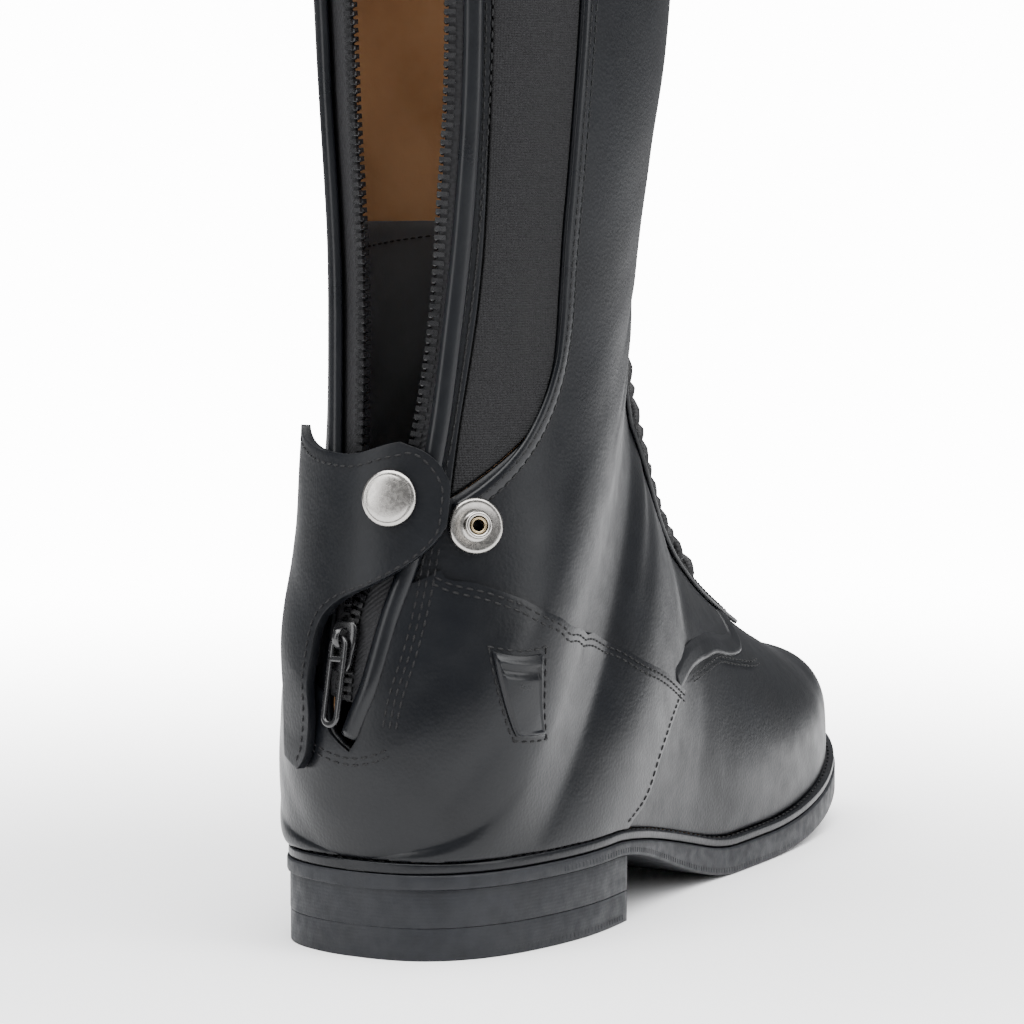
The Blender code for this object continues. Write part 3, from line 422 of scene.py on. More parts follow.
@dataclass
class SurfaceCurve:
    """A line drawn on the boot's surface by stations and shares."""

    where: Where
    u: Array
    s: Array

    @classmethod
    def through(cls, where: Where, points: list, count: int = 160) -> "SurfaceCurve":
        """Smooth curve through given points of (station, share)."""
        pts = np.array(points, float)
        t = lengths(FORM.point(where, pts[:, 0], pts[:, 1]))
        fine = np.linspace(0, t[-1], count)
        read = monotone(np.column_stack([t, pts]), fine)
        return cls(where, read[:, 0], read[:, 1])

    def spaced(self, pitch: float, start: float = 0.0, stop: float = 0.0) -> "SurfaceCurve":
        """The same curve at points a pitch apart, leaving some millimetres out at its ends."""
        t = lengths(FORM.point(self.where, self.u, self.s))
        count = max(2, int(round((t[-1] - start - stop) / pitch)) + 1)
        at = np.linspace(start, t[-1] - stop, count)
        return SurfaceCurve(self.where, np.interp(at, t, self.u), np.interp(at, t, self.s))

    def frames(self) -> tuple[Array, Array, Array]:
        """Points, outward normals and unit directions of the curve."""
        p, n, _, _ = FORM.frame(self.where, self.u, self.s)
        return p, n, unit(np.gradient(p, axis=0))

    def shifted(self, by: float) -> "SurfaceCurve":
        """The curve moved sideways over the surface and evened out.

        Args:
            by: Millimetres, positive to the left of its direction seen from outside.
        Returns:
            The moved curve.
        """
        p, n, along, across = FORM.frame(self.where, self.u, self.s)
        want = np.cross(n, unit(np.gradient(p, axis=0))) * by
        rates = zip(along, across, want)
        step = np.array([np.linalg.lstsq(np.column_stack([a, c]), w, rcond=None)[0] for a, c, w in rates])
        moved = np.column_stack([self.u, self.s]) + step
        half = min(6, len(moved) // 8)
        wide = np.concatenate(
            [2 * moved[:1] - moved[half:0:-1], moved, 2 * moved[-1:] - moved[-2:-half - 2:-1]]
        )
        even = np.array([wide[k:k + 2 * half + 1].mean(0) for k in range(len(moved))])
        return SurfaceCurve(self.where, even[:, 0], even[:, 1])


class Bench:
    """Mesh making that all the sub-assemblies share."""

    @staticmethod
    def object_of(name: str, verts: Array, faces: list) -> Piece:
        """A smooth-shaded object from points in millimetres, with its faces turned outwards.

        Args:
            name: Object name.
            verts: Points.
            faces: Loops of point numbers.
        Returns:
            The linked object.
        """
        mesh = bpy.data.meshes.new(name)
        mesh.from_pydata((np.asarray(verts, float) * MM).tolist(), [], faces)
        mesh.update()
        bm = bmesh.new()
        bm.from_mesh(mesh)
        bmesh.ops.recalc_face_normals(bm, faces=bm.faces)
        if bm.calc_volume(signed=True) < 0:
            bmesh.ops.reverse_faces(bm, faces=bm.faces)
        for face in bm.faces:
            face.smooth = True
        bm.to_mesh(mesh)
        bm.free()
        obj = bpy.data.objects.new(name, mesh)
        bpy.context.scene.collection.objects.link(obj)
        return obj

    @staticmethod
    def grid_normals(points: Array, centres: Array) -> Array:
        """Normals of a grid of points, averaged where points coincide, turned away from the centres."""
        rows, cols = points.shape[:2]
        flat = points.reshape(-1, 3)
        _, first, ids = np.unique(np.round(flat, 3), axis=0, return_index=True, return_inverse=True)
        ids = ids.reshape(rows, cols)
        a, b, c, d = ids[:-1, :-1], ids[:-1, 1:], ids[1:, 1:], ids[1:, :-1]
        base = flat[first]
        normals = np.zeros_like(base)
        n = np.cross(base[c] - base[a], base[d] - base[b]).reshape(-1, 3)
        for corner in (a, b, c, d):
            np.add.at(normals, corner.reshape(-1), n)
        normals /= np.maximum(np.linalg.norm(normals, axis=1, keepdims=True), 1e-12)
        out = normals[ids]
        if np.sum(out * (points - centres[:, None])) < 0:
            out = -out
        return out

    @staticmethod
    def sleeve(rows: int, count: int, closed: bool = False) -> list:
        """Faces between rings of points.

        Args:
            rows: Number of rings.
            count: Points in each ring.
            closed: Whether the last ring joins the first, and both ends are capped otherwise.
        Returns:
            Loops of point numbers.
        """
        faces = []
        for i in range(rows if closed else rows - 1):
            up = (i + 1) % rows
            for j in range(count):
                k = (j + 1) % count
                faces.append([i * count + j, i * count + k, up * count + k, up * count + j])
        if not closed:
            faces += [list(range(count))[::-1], [(rows - 1) * count + j for j in range(count)]]
        return faces

    @staticmethod
    def moved(place: Matrix, points: list) -> Array:
        """Points of a piece's own frame, brought to their place."""
        return np.array([list(place @ Vector(point)) for point in points])

    @classmethod
    def wall(cls, name: str, points: Array, normals: Array, outer: Array | float,
             inner: Array | float, keep: Array | None = None, seated: bool = False) -> Piece:
        """A closed sheet between two offsets of a grid.

        Args:
            name: Object name.
            points: Grid of surface points, rows by columns.
            normals: Outward normals of the grid.
            outer: Outer offset in millimetres.
            inner: Inner offset in millimetres.
            keep: Cells that exist, all of them when left out.
            seated: Whether the sheet stays above the sole.
        Returns:
            The linked object.
        """
        rows, cols = points.shape[:2]
        _, first, ids = np.unique(
            np.round(points.reshape(-1, 3), 3), axis=0, return_index=True, return_inverse=True,
        )
        ids = ids.reshape(rows, cols)
        base, out = points.reshape(-1, 3)[first], normals.reshape(-1, 3)[first]
        top, low = (
            base + out * np.broadcast_to(np.asarray(by, float), (rows, cols)).reshape(-1)[first][:, None]
            for by in (outer, inner)
        )
        if seated:
            for layer in (top, low):
                layer[:, 2] = np.maximum(layer[:, 2], FORM.sole_top(layer[:, 0]) + FORM.SEAT)
        keep = np.ones((rows - 1, cols - 1), bool) if keep is None else keep
        count = len(base)
        faces: list = []
        edges: set[tuple[int, int]] = set()
        for quad in np.stack([ids[:-1, :-1], ids[:-1, 1:], ids[1:, 1:], ids[1:, :-1]], -1)[keep].tolist():
            loop = [v for k, v in enumerate(quad) if v != quad[k - 1]]
            if len(set(loop)) < 3:
                continue
            faces += [loop, [v + count for v in reversed(loop)]]
            for k in range(len(loop)):
                edge = (loop[k - 1], loop[k])
                if edge[::-1] in edges:
                    edges.remove(edge[::-1])
                else:
                    edges.add(edge)
        faces += [[q, p, p + count, q + count] for p, q in sorted(edges)]
        used = sorted({v for face in faces for v in face})
        number = {v: k for k, v in enumerate(used)}
        return cls.object_of(
            name, np.vstack([top, low])[used], [[number[v] for v in face] for face in faces],
        )

    @classmethod
    def band(
        cls, name: str, first: SurfaceCurve, second: SurfaceCurve, outer: list, inner: list,
    ) -> Piece:
        """A strip over the surface between two curves of as many points.

        Args:
            name: Object name.
            first: Curve of the strip's first border.
            second: Curve of its other border.
            outer: Rows of (share of the width, height), the outer profile.
            inner: Rows of (share of the width, height), the inner profile.
        Returns:
            The linked object.
        """
        shares = np.array([row[0] for row in outer])
        u = first.u[:, None] + (second.u - first.u)[:, None] * shares
        s = first.s[:, None] + (second.s - first.s)[:, None] * shares
        points, normals, _, _ = FORM.frame(first.where, u, s)
        low = np.interp(shares, [row[0] for row in inner], [row[1] for row in inner])
        return cls.wall(name, points, normals, np.array([row[1] for row in outer]), low)

    @classmethod
    def tube(cls, name: str, centres: Array, across: Array, out: Array, ring: list) -> Piece:
        """A closed tube with one profile of (across, out) all along."""
        profile = np.array(ring, float)
        sideways = across[:, None] * profile[None, :, :1]
        verts = centres[:, None] + sideways + out[:, None] * profile[None, :, 1:]
        return cls.object_of(name, verts.reshape(-1, 3), cls.sleeve(len(centres), len(profile)))

    @classmethod
    def turned(cls, name: str, profile: list, steps: int, place: Matrix, ring: bool = False) -> Piece:
        """A turned solid about local Z, with its profile either ending on the axis or closed to a ring."""
        verts: list = []
        loops: list = []
        for r, z in profile:
            if r < 1e-6:
                loops.append([len(verts)])
                verts.append((0.0, 0.0, z))
                continue
            loops.append(list(range(len(verts), len(verts) + steps)))
            turns = [2 * math.pi * k / steps for k in range(steps)]
            verts += [(r * math.cos(turn), r * math.sin(turn), z) for turn in turns]
        if ring:
            loops.append(loops[0])
        faces = []
        for low, high in zip(loops, loops[1:]):
            for k in range(steps):
                n = (k + 1) % steps
                loop = [low[k % len(low)], low[n % len(low)], high[n % len(high)], high[k % len(high)]]
                faces.append([v for i, v in enumerate(loop) if v != loop[i - 1]])
        return cls.object_of(name, cls.moved(place, verts), faces)

    @staticmethod
    def soften(obj: Piece, width: float, segments: int = 2, angle: float = 50.0) -> Piece:
        """Rounds the piece's sharp edges with a bevel of some millimetres."""
        mod = obj.modifiers.new("rounded_edges", "BEVEL")
        mod.width = width * MM
        mod.segments = segments
        mod.limit_method = "ANGLE"
        mod.angle_limit = math.radians(angle)
        mod.use_clamp_overlap = True
        return obj

    @staticmethod
    def place_on(where: Where, u: float, s: float, lift: float) -> Matrix:
        """Matrix of a spot on the surface: local Z outwards and local Y up the boot, in millimetres."""
        p, n, along, _ = FORM.frame(where, np.array(u), np.array(s))
        z = Vector(n).normalized()
        x = Vector(along).cross(z).normalized()
        turn = Matrix((x, z.cross(x), z)).transposed().to_4x4()
        return Matrix.Translation(Vector(p) + z * lift) @ turn

    @staticmethod
    def finish(obj: Piece, mat: Material, slot: str, nodes: tuple = (),
               body: str = BOOT_BODY) -> None:
        """Gives a piece its material and body, and hides the nodes that it stands for.

        Args:
            obj: The piece.
            mat: Its material.
            slot: Not used.
            nodes: Names of the nodes that it replaces.
            body: The body that it rides on.
        """
        obj.data.materials.clear()
        obj.data.materials.append(mat)
        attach(obj, body)
        if nodes:
            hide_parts(*nodes)
        LOG.info("%s rides on %s, %d faces", obj.name, body, len(obj.data.polygons))


class RowMaker:
    """Geometry Nodes that set one small shape at each point of a row, turned to the row and the surface."""

    def __init__(self, shape: Repeat) -> None:
        """Builds the tree for one shape."""
        self.shape = shape
        self.tree = bpy.data.node_groups.new(f"row_of_{shape.name.lower()}s", "GeometryNodeTree")
        face = self.tree.interface
        face.new_socket("Geometry", in_out="INPUT", socket_type="NodeSocketGeometry")
        self.sizes = [
            face.new_socket(name, in_out="INPUT", socket_type="NodeSocketFloat")
            for name in ("Length", "Width", "Height")
        ]
        self.mat = face.new_socket("Finish", in_out="INPUT", socket_type="NodeSocketMaterial")
        face.new_socket("Geometry", in_out="OUTPUT", socket_type="NodeSocketGeometry")
        self.wire()

    def wire(self) -> None:
        """Adds the nodes and links them."""
        nodes, links = self.tree.nodes, self.tree.links
        start, end = nodes.new("NodeGroupInput"), nodes.new("NodeGroupOutput")
        points = nodes.new("GeometryNodeMeshToPoints")
        put = nodes.new("GeometryNodeInstanceOnPoints")
        scale = nodes.new("ShaderNodeCombineXYZ")
        real = nodes.new("GeometryNodeRealizeInstances")
        dress = nodes.new("GeometryNodeSetMaterial")
        flat = nodes.new("GeometryNodeSetShadeSmooth")
        if self.shape is Repeat.BEAD:
            piece = nodes.new("GeometryNodeMeshUVSphere")
            piece.inputs["Segments"].default_value = 8
            piece.inputs["Rings"].default_value = 4
            piece.inputs["Radius"].default_value = 0.5
        else:
            piece = nodes.new("GeometryNodeMeshCube")
        turns = []
        for axis, name in (("Z", "out"), ("X", "run")):
            read = nodes.new("GeometryNodeInputNamedAttribute")
            read.data_type = "FLOAT_VECTOR"
            read.inputs["Name"].default_value = name
            turn = nodes.new("FunctionNodeAlignRotationToVector")
            turn.axis = axis
            turn.pivot_axis = "Z" if axis == "X" else "AUTO"
            links.new(read.outputs["Attribute"], turn.inputs["Vector"])
            turns.append(turn)
        for axis, name in zip("XYZ", ("Length", "Width", "Height")):
            links.new(start.outputs[name], scale.inputs[axis])
        flat.inputs["Shade Smooth"].default_value = self.shape is Repeat.BEAD
        wires = (
            (turns[0], "Rotation", turns[1], "Rotation"),
            (turns[1], "Rotation", put, "Rotation"),
            (start, "Geometry", points, "Mesh"),
            (points, "Points", put, "Points"),
            (piece, "Mesh", put, "Instance"),
            (scale, "Vector", put, "Scale"),
            (put, "Instances", real, "Geometry"),
            (real, "Geometry", flat, "Geometry"),
            (flat, "Geometry", dress, "Geometry"),
            (start, "Finish", dress, "Material"),
            (dress, "Geometry", end, "Geometry"),
        )
        for source, output, target, socket in wires:
            links.new(source.outputs[output], target.inputs[socket])

    def make(self, name: str, centres: Array, run: Array, out: Array, size: tuple,
             mat: Material) -> Piece:
        """A plain mesh of the shape at every centre.

        Args:
            name: Object name.
            centres: Points in millimetres.
            run: Direction of each shape's length.
            out: Direction of each shape's height.
            size: Length, width and height in millimetres.
            mat: Finish of the shapes.
        Returns:
            The linked object, with no modifier.
        """
        mesh = bpy.data.meshes.new(name + "_points")
        mesh.from_pydata((centres * MM).tolist(), [], [])
        for label, values in (("run", run), ("out", out)):
            attribute = mesh.attributes.new(label, "FLOAT_VECTOR", "POINT")
            attribute.data.foreach_set("vector", np.ascontiguousarray(values, np.float32).reshape(-1))
        carrier = bpy.data.objects.new(name + "_points", mesh)
        bpy.context.scene.collection.objects.link(carrier)
        mod = carrier.modifiers.new("row", "NODES")
        mod.node_group = self.tree
        for socket, value in zip(self.sizes, size):
            mod[socket.identifier] = value * MM
        mod[self.mat.identifier] = mat
        bpy.context.view_layer.update()
        graph = bpy.context.evaluated_depsgraph_get()
        plain = bpy.data.meshes.new_from_object(carrier.evaluated_get(graph))
        plain.name = name
        carrier.modifiers.remove(mod)
        bpy.data.objects.remove(carrier)
        obj = bpy.data.objects.new(name, plain)
        bpy.context.scene.collection.objects.link(obj)
        return obj


class Graph:
    """Small helper that wires one material's nodes."""

    COAT_ROUGHNESS = 0.24

    def __init__(self, name: str, colour: tuple, roughness: float, metallic: float = 0.0, coat: float = 0.0,
                 gloss: float = 0.5) -> None:
        """Starts a material with its shader's own constant values."""
        self.mat = bpy.data.materials.new(name)
        self.mat.use_nodes = True
        self.nodes, self.links = self.mat.node_tree.nodes, self.mat.node_tree.links
        self.shader = self.nodes["Principled BSDF"]
        values = {
            "Base Color": (*colour, 1.0), "Roughness": roughness, "Metallic": metallic, "Coat Weight": coat,
            "Coat Roughness": self.COAT_ROUGHNESS, "Specular IOR Level": gloss,
        }
        for socket, value in values.items():
            self.shader.inputs[socket].default_value = value
        self.where = self.nodes.new("ShaderNodeTexCoord").outputs["Object"]

    def pattern(self, kind: str, values: dict) -> bpy.types.Node:
        """A texture node on the object's own coordinates, with its inputs set."""
        node = self.nodes.new(kind)
        for socket, value in values.items():
            node.inputs[socket].default_value = value
        self.links.new(self.where, node.inputs["Vector"])
        return node

    def noise(self, scale: float, detail: float = 3.0) -> Socket:
        """Noise, in cells per metre."""
        return self.pattern("ShaderNodeTexNoise", {"Scale": scale, "Detail": detail}).outputs["Fac"]

    def cells(self, scale: float) -> Socket:
        """Rounded pebbles."""
        node = self.pattern("ShaderNodeTexVoronoi", {"Scale": scale})
        node.feature = "SMOOTH_F1"
        node.inputs["Smoothness"].default_value = 0.6
        return node.outputs["Distance"]

    def bands(self, direction: str, scale: float, distortion: float = 0.0) -> Socket:
        """Straight bands along one axis."""
        node = self.pattern("ShaderNodeTexWave", {"Scale": scale, "Distortion": distortion})
        node.bands_direction = direction
        return node.outputs["Fac"]

    def spread(self, source: Socket, low: float, high: float) -> Socket:
        """The source's middle part stretched between two values."""
        node = self.nodes.new("ShaderNodeMapRange")
        for socket, value in {"From Min": 0.3, "From Max": 0.7, "To Min": low, "To Max": high}.items():
            node.inputs[socket].default_value = value
        self.links.new(source, node.inputs["Value"])
        return node.outputs["Result"]

    def tint(self, source: Socket, first: tuple, second: tuple) -> None:
        """Base colour between two tints."""
        node = self.nodes.new("ShaderNodeMix")
        node.data_type = "RGBA"
        self.links.new(self.spread(source, 0.0, 1.0), node.inputs[0])
        node.inputs[6].default_value = (*first, 1.0)
        node.inputs[7].default_value = (*second, 1.0)
        self.links.new(node.outputs[2], self.shader.inputs["Base Color"])

    def rough(self, source: Socket, low: float, high: float) -> None:
        """Roughness between two values."""
        self.links.new(self.spread(source, low, high), self.shader.inputs["Roughness"])

    def relief(self, *layers: tuple) -> None:
        """Bump of several layers, each (source, depth in millimetres)."""
        last = None
        for source, depth in layers:
            node = self.nodes.new("ShaderNodeBump")
            node.inputs["Strength"].default_value = 1.0
            node.inputs["Distance"].default_value = depth * MM
            self.links.new(source, node.inputs["Height"])
            if last is not None:
                self.links.new(last, node.inputs["Normal"])
            last = node.outputs["Normal"]
        self.links.new(last, self.shader.inputs["Normal"])


@dataclass(frozen=True)
class LeatherFinish:
    """Black calf leather with a fine pebble grain and a broad satin gloss."""

    name: str
    dark: tuple = (0.0022, 0.0026, 0.0036)
    light: tuple = (0.0042, 0.0049, 0.0064)
    low: float = 0.36
    high: float = 0.46
    grain: float = 1050.0
    depth: float = 0.045
    coat: float = 0.04
    gloss: float = 0.19

    def build(self) -> Material:
        """Builds the material."""
        g = Graph(self.name, self.dark, self.low, coat=self.coat, gloss=self.gloss)
        g.tint(g.noise(35.0, 4.0), self.dark, self.light)
        g.rough(g.noise(120.0, 5.0), self.low, self.high)
        g.relief(
            (g.cells(self.grain), self.depth), (g.noise(3200.0, 2.0), self.depth * 0.3),
            (g.noise(90.0, 2.0), 0.10),
        )
        return g.mat


@dataclass(frozen=True)
class WovenFinish:
    """Fine black elastic weave with faint lighter specks."""

    name: str

    def build(self) -> Material:
        """Builds the material."""
        g = Graph(self.name, (0.004, 0.004, 0.0045), 0.82, gloss=0.25)
        g.tint(g.noise(2600.0, 2.0), (0.0022, 0.0022, 0.0026), (0.0125, 0.0125, 0.0135))
        g.relief(
            (g.bands("Z", 480.0, 0.4), 0.10), (g.bands("X", 620.0, 0.4), 0.07),
            (g.noise(4000.0, 1.0), 0.05),
        )
        return g.mat


@dataclass(frozen=True)
class SoleFinish:
    """Matte dark grey rubber or a stacked heel with fine level lines."""

    name: str
    lines: float = 0.0
    dark: tuple = (0.0058, 0.0066, 0.0086)
    light: tuple = (0.0105, 0.0116, 0.0145)

    def build(self) -> Material:
        """Builds the material."""
        g = Graph(self.name, self.dark, 0.50, gloss=0.26)
        g.tint(g.noise(160.0, 5.0), self.dark, self.light)
        g.rough(g.noise(300.0, 4.0), 0.44, 0.62)
        layers = [(g.noise(1500.0, 3.0), 0.05)]
        if self.lines:
            layers.append((g.bands("Z", self.lines, 0.8), 0.014))
        g.relief(*layers)
        return g.mat


@dataclass(frozen=True)
class MetalFinish:
    """Plated metal with a faint brushing."""

    name: str
    colour: tuple = (0.40, 0.385, 0.365)
    low: float = 0.20
    high: float = 0.32

    def build(self) -> Material:
        """Builds the material."""
        g = Graph(self.name, self.colour, self.low, metallic=1.0)
        g.tint(g.noise(240.0, 4.0), tuple(c * 0.94 for c in self.colour), self.colour)
        g.rough(g.noise(900.0, 4.0), self.low, self.high)
        g.relief((g.noise(2500.0, 2.0), 0.006))
        return g.mat


@dataclass(frozen=True)
class FibreFinish:
    """Thread, tape and cord: a fine twill over black yarn."""

    name: str
    dark: tuple = (0.0045, 0.0045, 0.0052)
    light: tuple = (0.0140, 0.0140, 0.0155)
    ribs: float = 420.0

    def build(self) -> Material:
        """Builds the material."""
        g = Graph(self.name, self.dark, 0.66, gloss=0.30)
        g.tint(g.noise(1500.0, 2.0), self.dark, self.light)
        g.relief((g.bands("DIAGONAL", self.ribs, 0.3), 0.08), (g.noise(3500.0, 1.0), 0.04))
        return g.mat


@dataclass(frozen=True)
class MouldedFinish:
    """Glossy black moulded plastic of the zip."""

    name: str

    def build(self) -> Material:
        """Builds the material."""
        g = Graph(self.name, (0.004, 0.004, 0.0045), 0.24, coat=0.25)
        g.tint(g.noise(300.0, 2.0), (0.003, 0.003, 0.0035), (0.007, 0.007, 0.008))
        g.rough(g.noise(700.0, 3.0), 0.18, 0.30)
        g.relief((g.noise(1800.0, 2.0), 0.010))
        return g.mat


class Finishes:
    """All finishes of the boot, built once."""

    def __init__(self) -> None:
        """Builds each finish."""
        self.calf = LeatherFinish("satin_calf_leather").build()
        self.overlay = LeatherFinish("counter_calf_leather", low=0.31, high=0.40, coat=0.09).build()
        self.glossy = LeatherFinish(
            "polished_piping_leather", low=0.26, high=0.36, coat=0.16, depth=0.03,
        ).build()
        # Painted light: the stay is the same black calf as outside, but its base colour is a much lighter
        # grey that stands in for the light reaching inside the shaft.
        self.stay = LeatherFinish(
            "inner_stay_calf_painted_light", (0.050, 0.053, 0.058), (0.072, 0.076, 0.083), coat=0.0,
        ).build()
        self.lining = LeatherFinish(
            "tan_lining_leather", (
                0.240, 0.130, 0.060,
            ), (0.330, 0.190, 0.098), 0.55, 0.68, 1500.0, 0.03, 0.0
        ).build()
        self.elastic = WovenFinish("woven_elastic").build()
        self.rubber = SoleFinish("matte_sole_rubber").build()
        self.heel = SoleFinish("brushed_heel_stack", 330.0).build()
        self.nickel = MetalFinish("satin_nickel").build()
        self.brass = MetalFinish("pale_brass", (0.40, 0.32, 0.20)).build()
        self.plastic = MouldedFinish("moulded_zip_plastic").build()
        self.thread = FibreFinish(
            "bonded_black_thread", (0.0010, 0.0011, 0.0014), (0.0040, 0.0042, 0.0050), 900.0,
        ).build()
        self.tape = FibreFinish("woven_zip_tape").build()
        self.cord = FibreFinish("waxed_lace_cord", ribs=300.0).build()


BEADS: RowMaker
BLOCKS: RowMaker


def stitch_row(name: str, centres: Array, run: Array, out: Array, finish: Finishes) -> None:
    """One row of thread stitches.

    Args:
        name: Object name.
        centres: Middle of each stitch.
        run: Directions of the row.
        out: Directions away from the surface.
        finish: The boot's finishes.
    """
    row = BEADS.make(name, centres, run, out, Stitching.THREAD, finish.thread)
    Bench.finish(row, finish.thread, "cord")


def half_shares(us: Array, breaks: dict, parts: tuple) -> Array:
    """Shares of one half's grid columns, spread evenly between borders that follow the key lines.

    Args:
        us: Stations of the rows.
        breaks: Share lists by border name, in order from the ridge.
        parts: Number of columns in each interval.
    Returns:
        Rows by columns of shares.
    """
    borders = [np.broadcast_to(np.asarray(b, float), us.shape) for b in breaks.values()]
    cols = [borders[0][:, None]]
    for low, high, count in zip(borders, borders[1:], parts):
        t = np.arange(1, count + 1) / count
        cols.append(low[:, None] + (high - low)[:, None] * t)
    return np.concatenate(cols, axis=1)


def half_borders(us: Array, side: float) -> dict:
    """The upper's key lines on one half: ridge, throat, stay, front border, back border and end."""
    lateral = side < 0
    front = line(Keys.FRONT if lateral else Keys.FRONT_MEDIAL, us)
    back = line(Keys.BACK if lateral else Keys.BACK_MEDIAL, us)
    cut = np.abs(line(Keys.CUT_LATERAL if lateral else Keys.CUT_MEDIAL, us))
    end = np.where(us <= FORM.APEX, 1.0, 1.0 - cut)
    return {
        "ridge": 0.0 * us, "throat": Keys.THROAT_SHARE + 0 * us, "stay": Keys.STAY_SHARE + 0 * us,
        "front": front, "back": back, "end": end,
    }


@dataclass
class Station:
    """Rows of stations with the exact stations that borders need."""

    low: float
    high: float
    count: int
    exact: tuple = ()

    def rows(self) -> Array:
        """The stations, without near doubles."""
        us = np.union1d(np.linspace(self.low, self.high, self.count), np.array(self.exact))
        keep = np.concatenate([[True], np.diff(us) > 2e-4])
        fixed = np.isin(us, self.exact)
        return us[keep | fixed]


@dataclass
class UpperShell:
    """The boot's outer leather, its tan lining and the stay inside the shaft."""

    rows: int = 190
    parts: tuple = (3, 4, 22, 12, 12)
    window: tuple = (0.728, 0.975)
    crease_depth: float = 0.55
    lining_rows: tuple = (0.64, 0.9985)
    stay_low: float = 0.62
    stay_top: float = 189.0
    stay_reach: tuple = (0.80, -0.74)

    def creases(self, us: Array, s: Array) -> Array:
        """Soft troughs and ridges over the ankle's front and the vamp, in millimetres.

        Args:
            us: Stations.
            s: Signed shares from the ridge.
        Returns:
            Offsets to add to the outer side.
        """
        out = np.zeros(np.broadcast(us, s).shape)
        table = (
            (0.300, 0.06, 0.008, 0.9), (0.335, -0.05, 0.009, 1.0), (0.372, 0.07, 0.009, 0.9),
            (0.640, -0.04, 0.010, 0.7), (0.668, 0.05, 0.010, 0.6), (0.700, -0.05, 0.012, 0.5),
        )
        for station, lean, width, share in table:
            d = (us - station - lean * np.abs(s)) / width
            fade = smooth((np.abs(s) - 0.10) / 0.10) * (1 - smooth((np.abs(s) - 0.24) / 0.16))
            out = out + self.crease_depth * share * fade * (
                0.6 * np.exp(-((d - 1.6) ** 2)) - np.exp(-(d ** 2))
            )
        return out

    def grid(self, us: Array) -> tuple[Array, Array]:
        """Points and signed shares from the medial end over the ridge to the lateral end."""
        med = half_shares(us, half_borders(us, 1.0), self.parts)
        lat = half_shares(us, half_borders(us, -1.0), self.parts)
        signed = np.concatenate([med[:, ::-1], -lat[:, 1:]], axis=1)
        return FORM.point(Where.OVER, us[:, None], signed), signed

    def build(self, finish: Finishes) -> None:
        """Builds the leather, the lining, the stay and the quarter's edges."""
        self.leather(finish)
        self.lining(finish)
        self.stay(finish)
        self.quarter_edge(finish)

    def leather(self, finish: Finishes) -> None:
        """The outer wall, open at the throat and at the elastic's window."""
        exact = (*Keys.THROAT_ROWS, *self.window, FORM.HEEL_ROW)
        us = np.union1d(Station(0.0, 1.0, self.rows, exact).rows(), np.array([0.0015, 0.004, 0.007]))
        points, signed = self.grid(us)
        normals = Bench.grid_normals(points, FORM.centre(us))
        n = sum(self.parts)
        keep = np.ones((len(us) - 1, 2 * n), bool)
        slot_rows = (us[:-1] >= Keys.THROAT_ROWS[0] - 1e-6) & (us[1:] <= Keys.THROAT_ROWS[1] + 1e-6)
        keep[np.ix_(slot_rows, np.arange(n - self.parts[0], n + self.parts[0]))] = False
        gap_rows = (us[:-1] >= self.window[0] - 1e-6) & (us[1:] <= self.window[1] + 1e-6)
        first = n + sum(self.parts[:3])
        keep[np.ix_(gap_rows, np.arange(first, first + self.parts[3]))] = False
        outer = self.creases(us[:, None], signed)
        shell = Bench.wall("upper_leather", points, normals, outer, -FORM.WALL, keep, seated=True)
        Bench.finish(shell, finish.calf, "leather", ("upper",))

    def lining(self, finish: Finishes) -> None:
        """The tan lining inside the shaft."""
        us = np.linspace(*self.lining_rows, 70)
        points, _ = self.grid(us)
        normals = Bench.grid_normals(points, FORM.centre(us))
        lining = Bench.wall("shaft_lining", points, normals, -FORM.WALL - 0.05, -FORM.WALL - 0.75)
        Bench.finish(lining, finish.lining, "lining")

    def stay(self, finish: Finishes) -> None:
        """The leather stay over the lining, with its level top edge and its stitch row."""
        shares = np.linspace(*self.stay_reach, 60)
        fine = np.linspace(self.stay_low, 0.95, 120)
        heights = FORM.point(Where.OVER, fine[:, None], np.broadcast_to(shares, (120, len(shares))))[..., 2]
        top = np.array([np.interp(self.stay_top, heights[:, j], fine) for j in range(len(shares))])
        t = np.linspace(0, 1, 40)
        stations = self.stay_low + (top - self.stay_low) * t[:, None]
        points = FORM.point(Where.OVER, stations, np.broadcast_to(shares, stations.shape))
        normals = Bench.grid_normals(points, FORM.centre(stations[:, len(shares) // 2]))
        stay = Bench.wall("inner_stay_leather", points, normals, -FORM.WALL - 0.8, -FORM.WALL - 1.9)
        Bench.finish(Bench.soften(stay, 0.35), finish.stay, "leather")
        row = points[-3] - normals[-3] * (FORM.WALL + 1.95)
        t = lengths(row)
        at = np.arange(1.0, t[-1], Stitching.PITCH)
        p, n = read_at(at, t, row), -read_at(at, t, normals[-3])
        stitch_row("inner_stay_stitches", p, np.gradient(p, axis=0), n, finish)

    def quarter_edge(self, finish: Finishes) -> None:
        """The folded edge of the quarter over the vamp, from the counter to the facing's front end."""
        seam = [
            (0.334, 0.396), (0.319, 0.354), (0.298, 0.317), (0.280, 0.290), (0.262, 0.278),
            (0.249, 0.262), (0.243, 0.235), (0.240, 0.200), (0.236, 0.165), (0.230, 0.130), (0.224, 0.08),
        ]
        for where, name in ((Where.LATERAL, "lateral"), (Where.MEDIAL, "medial")):
            edge = SurfaceCurve.through(where, seam)
            inside = edge.shifted(7.0)
            if inside.u.mean() < edge.u.mean():
                inside = edge.shifted(-7.0)
            profile = [(0.0, 0.02), (0.03, 0.55), (0.10, 0.85), (0.25, 0.80), (0.6, 0.40), (1.0, 0.02)]
            fold = Bench.band(f"quarter_edge_{name}", edge, inside, profile, [(0, -0.3), (1, -0.3)])
            Bench.finish(fold, finish.calf, "leather")


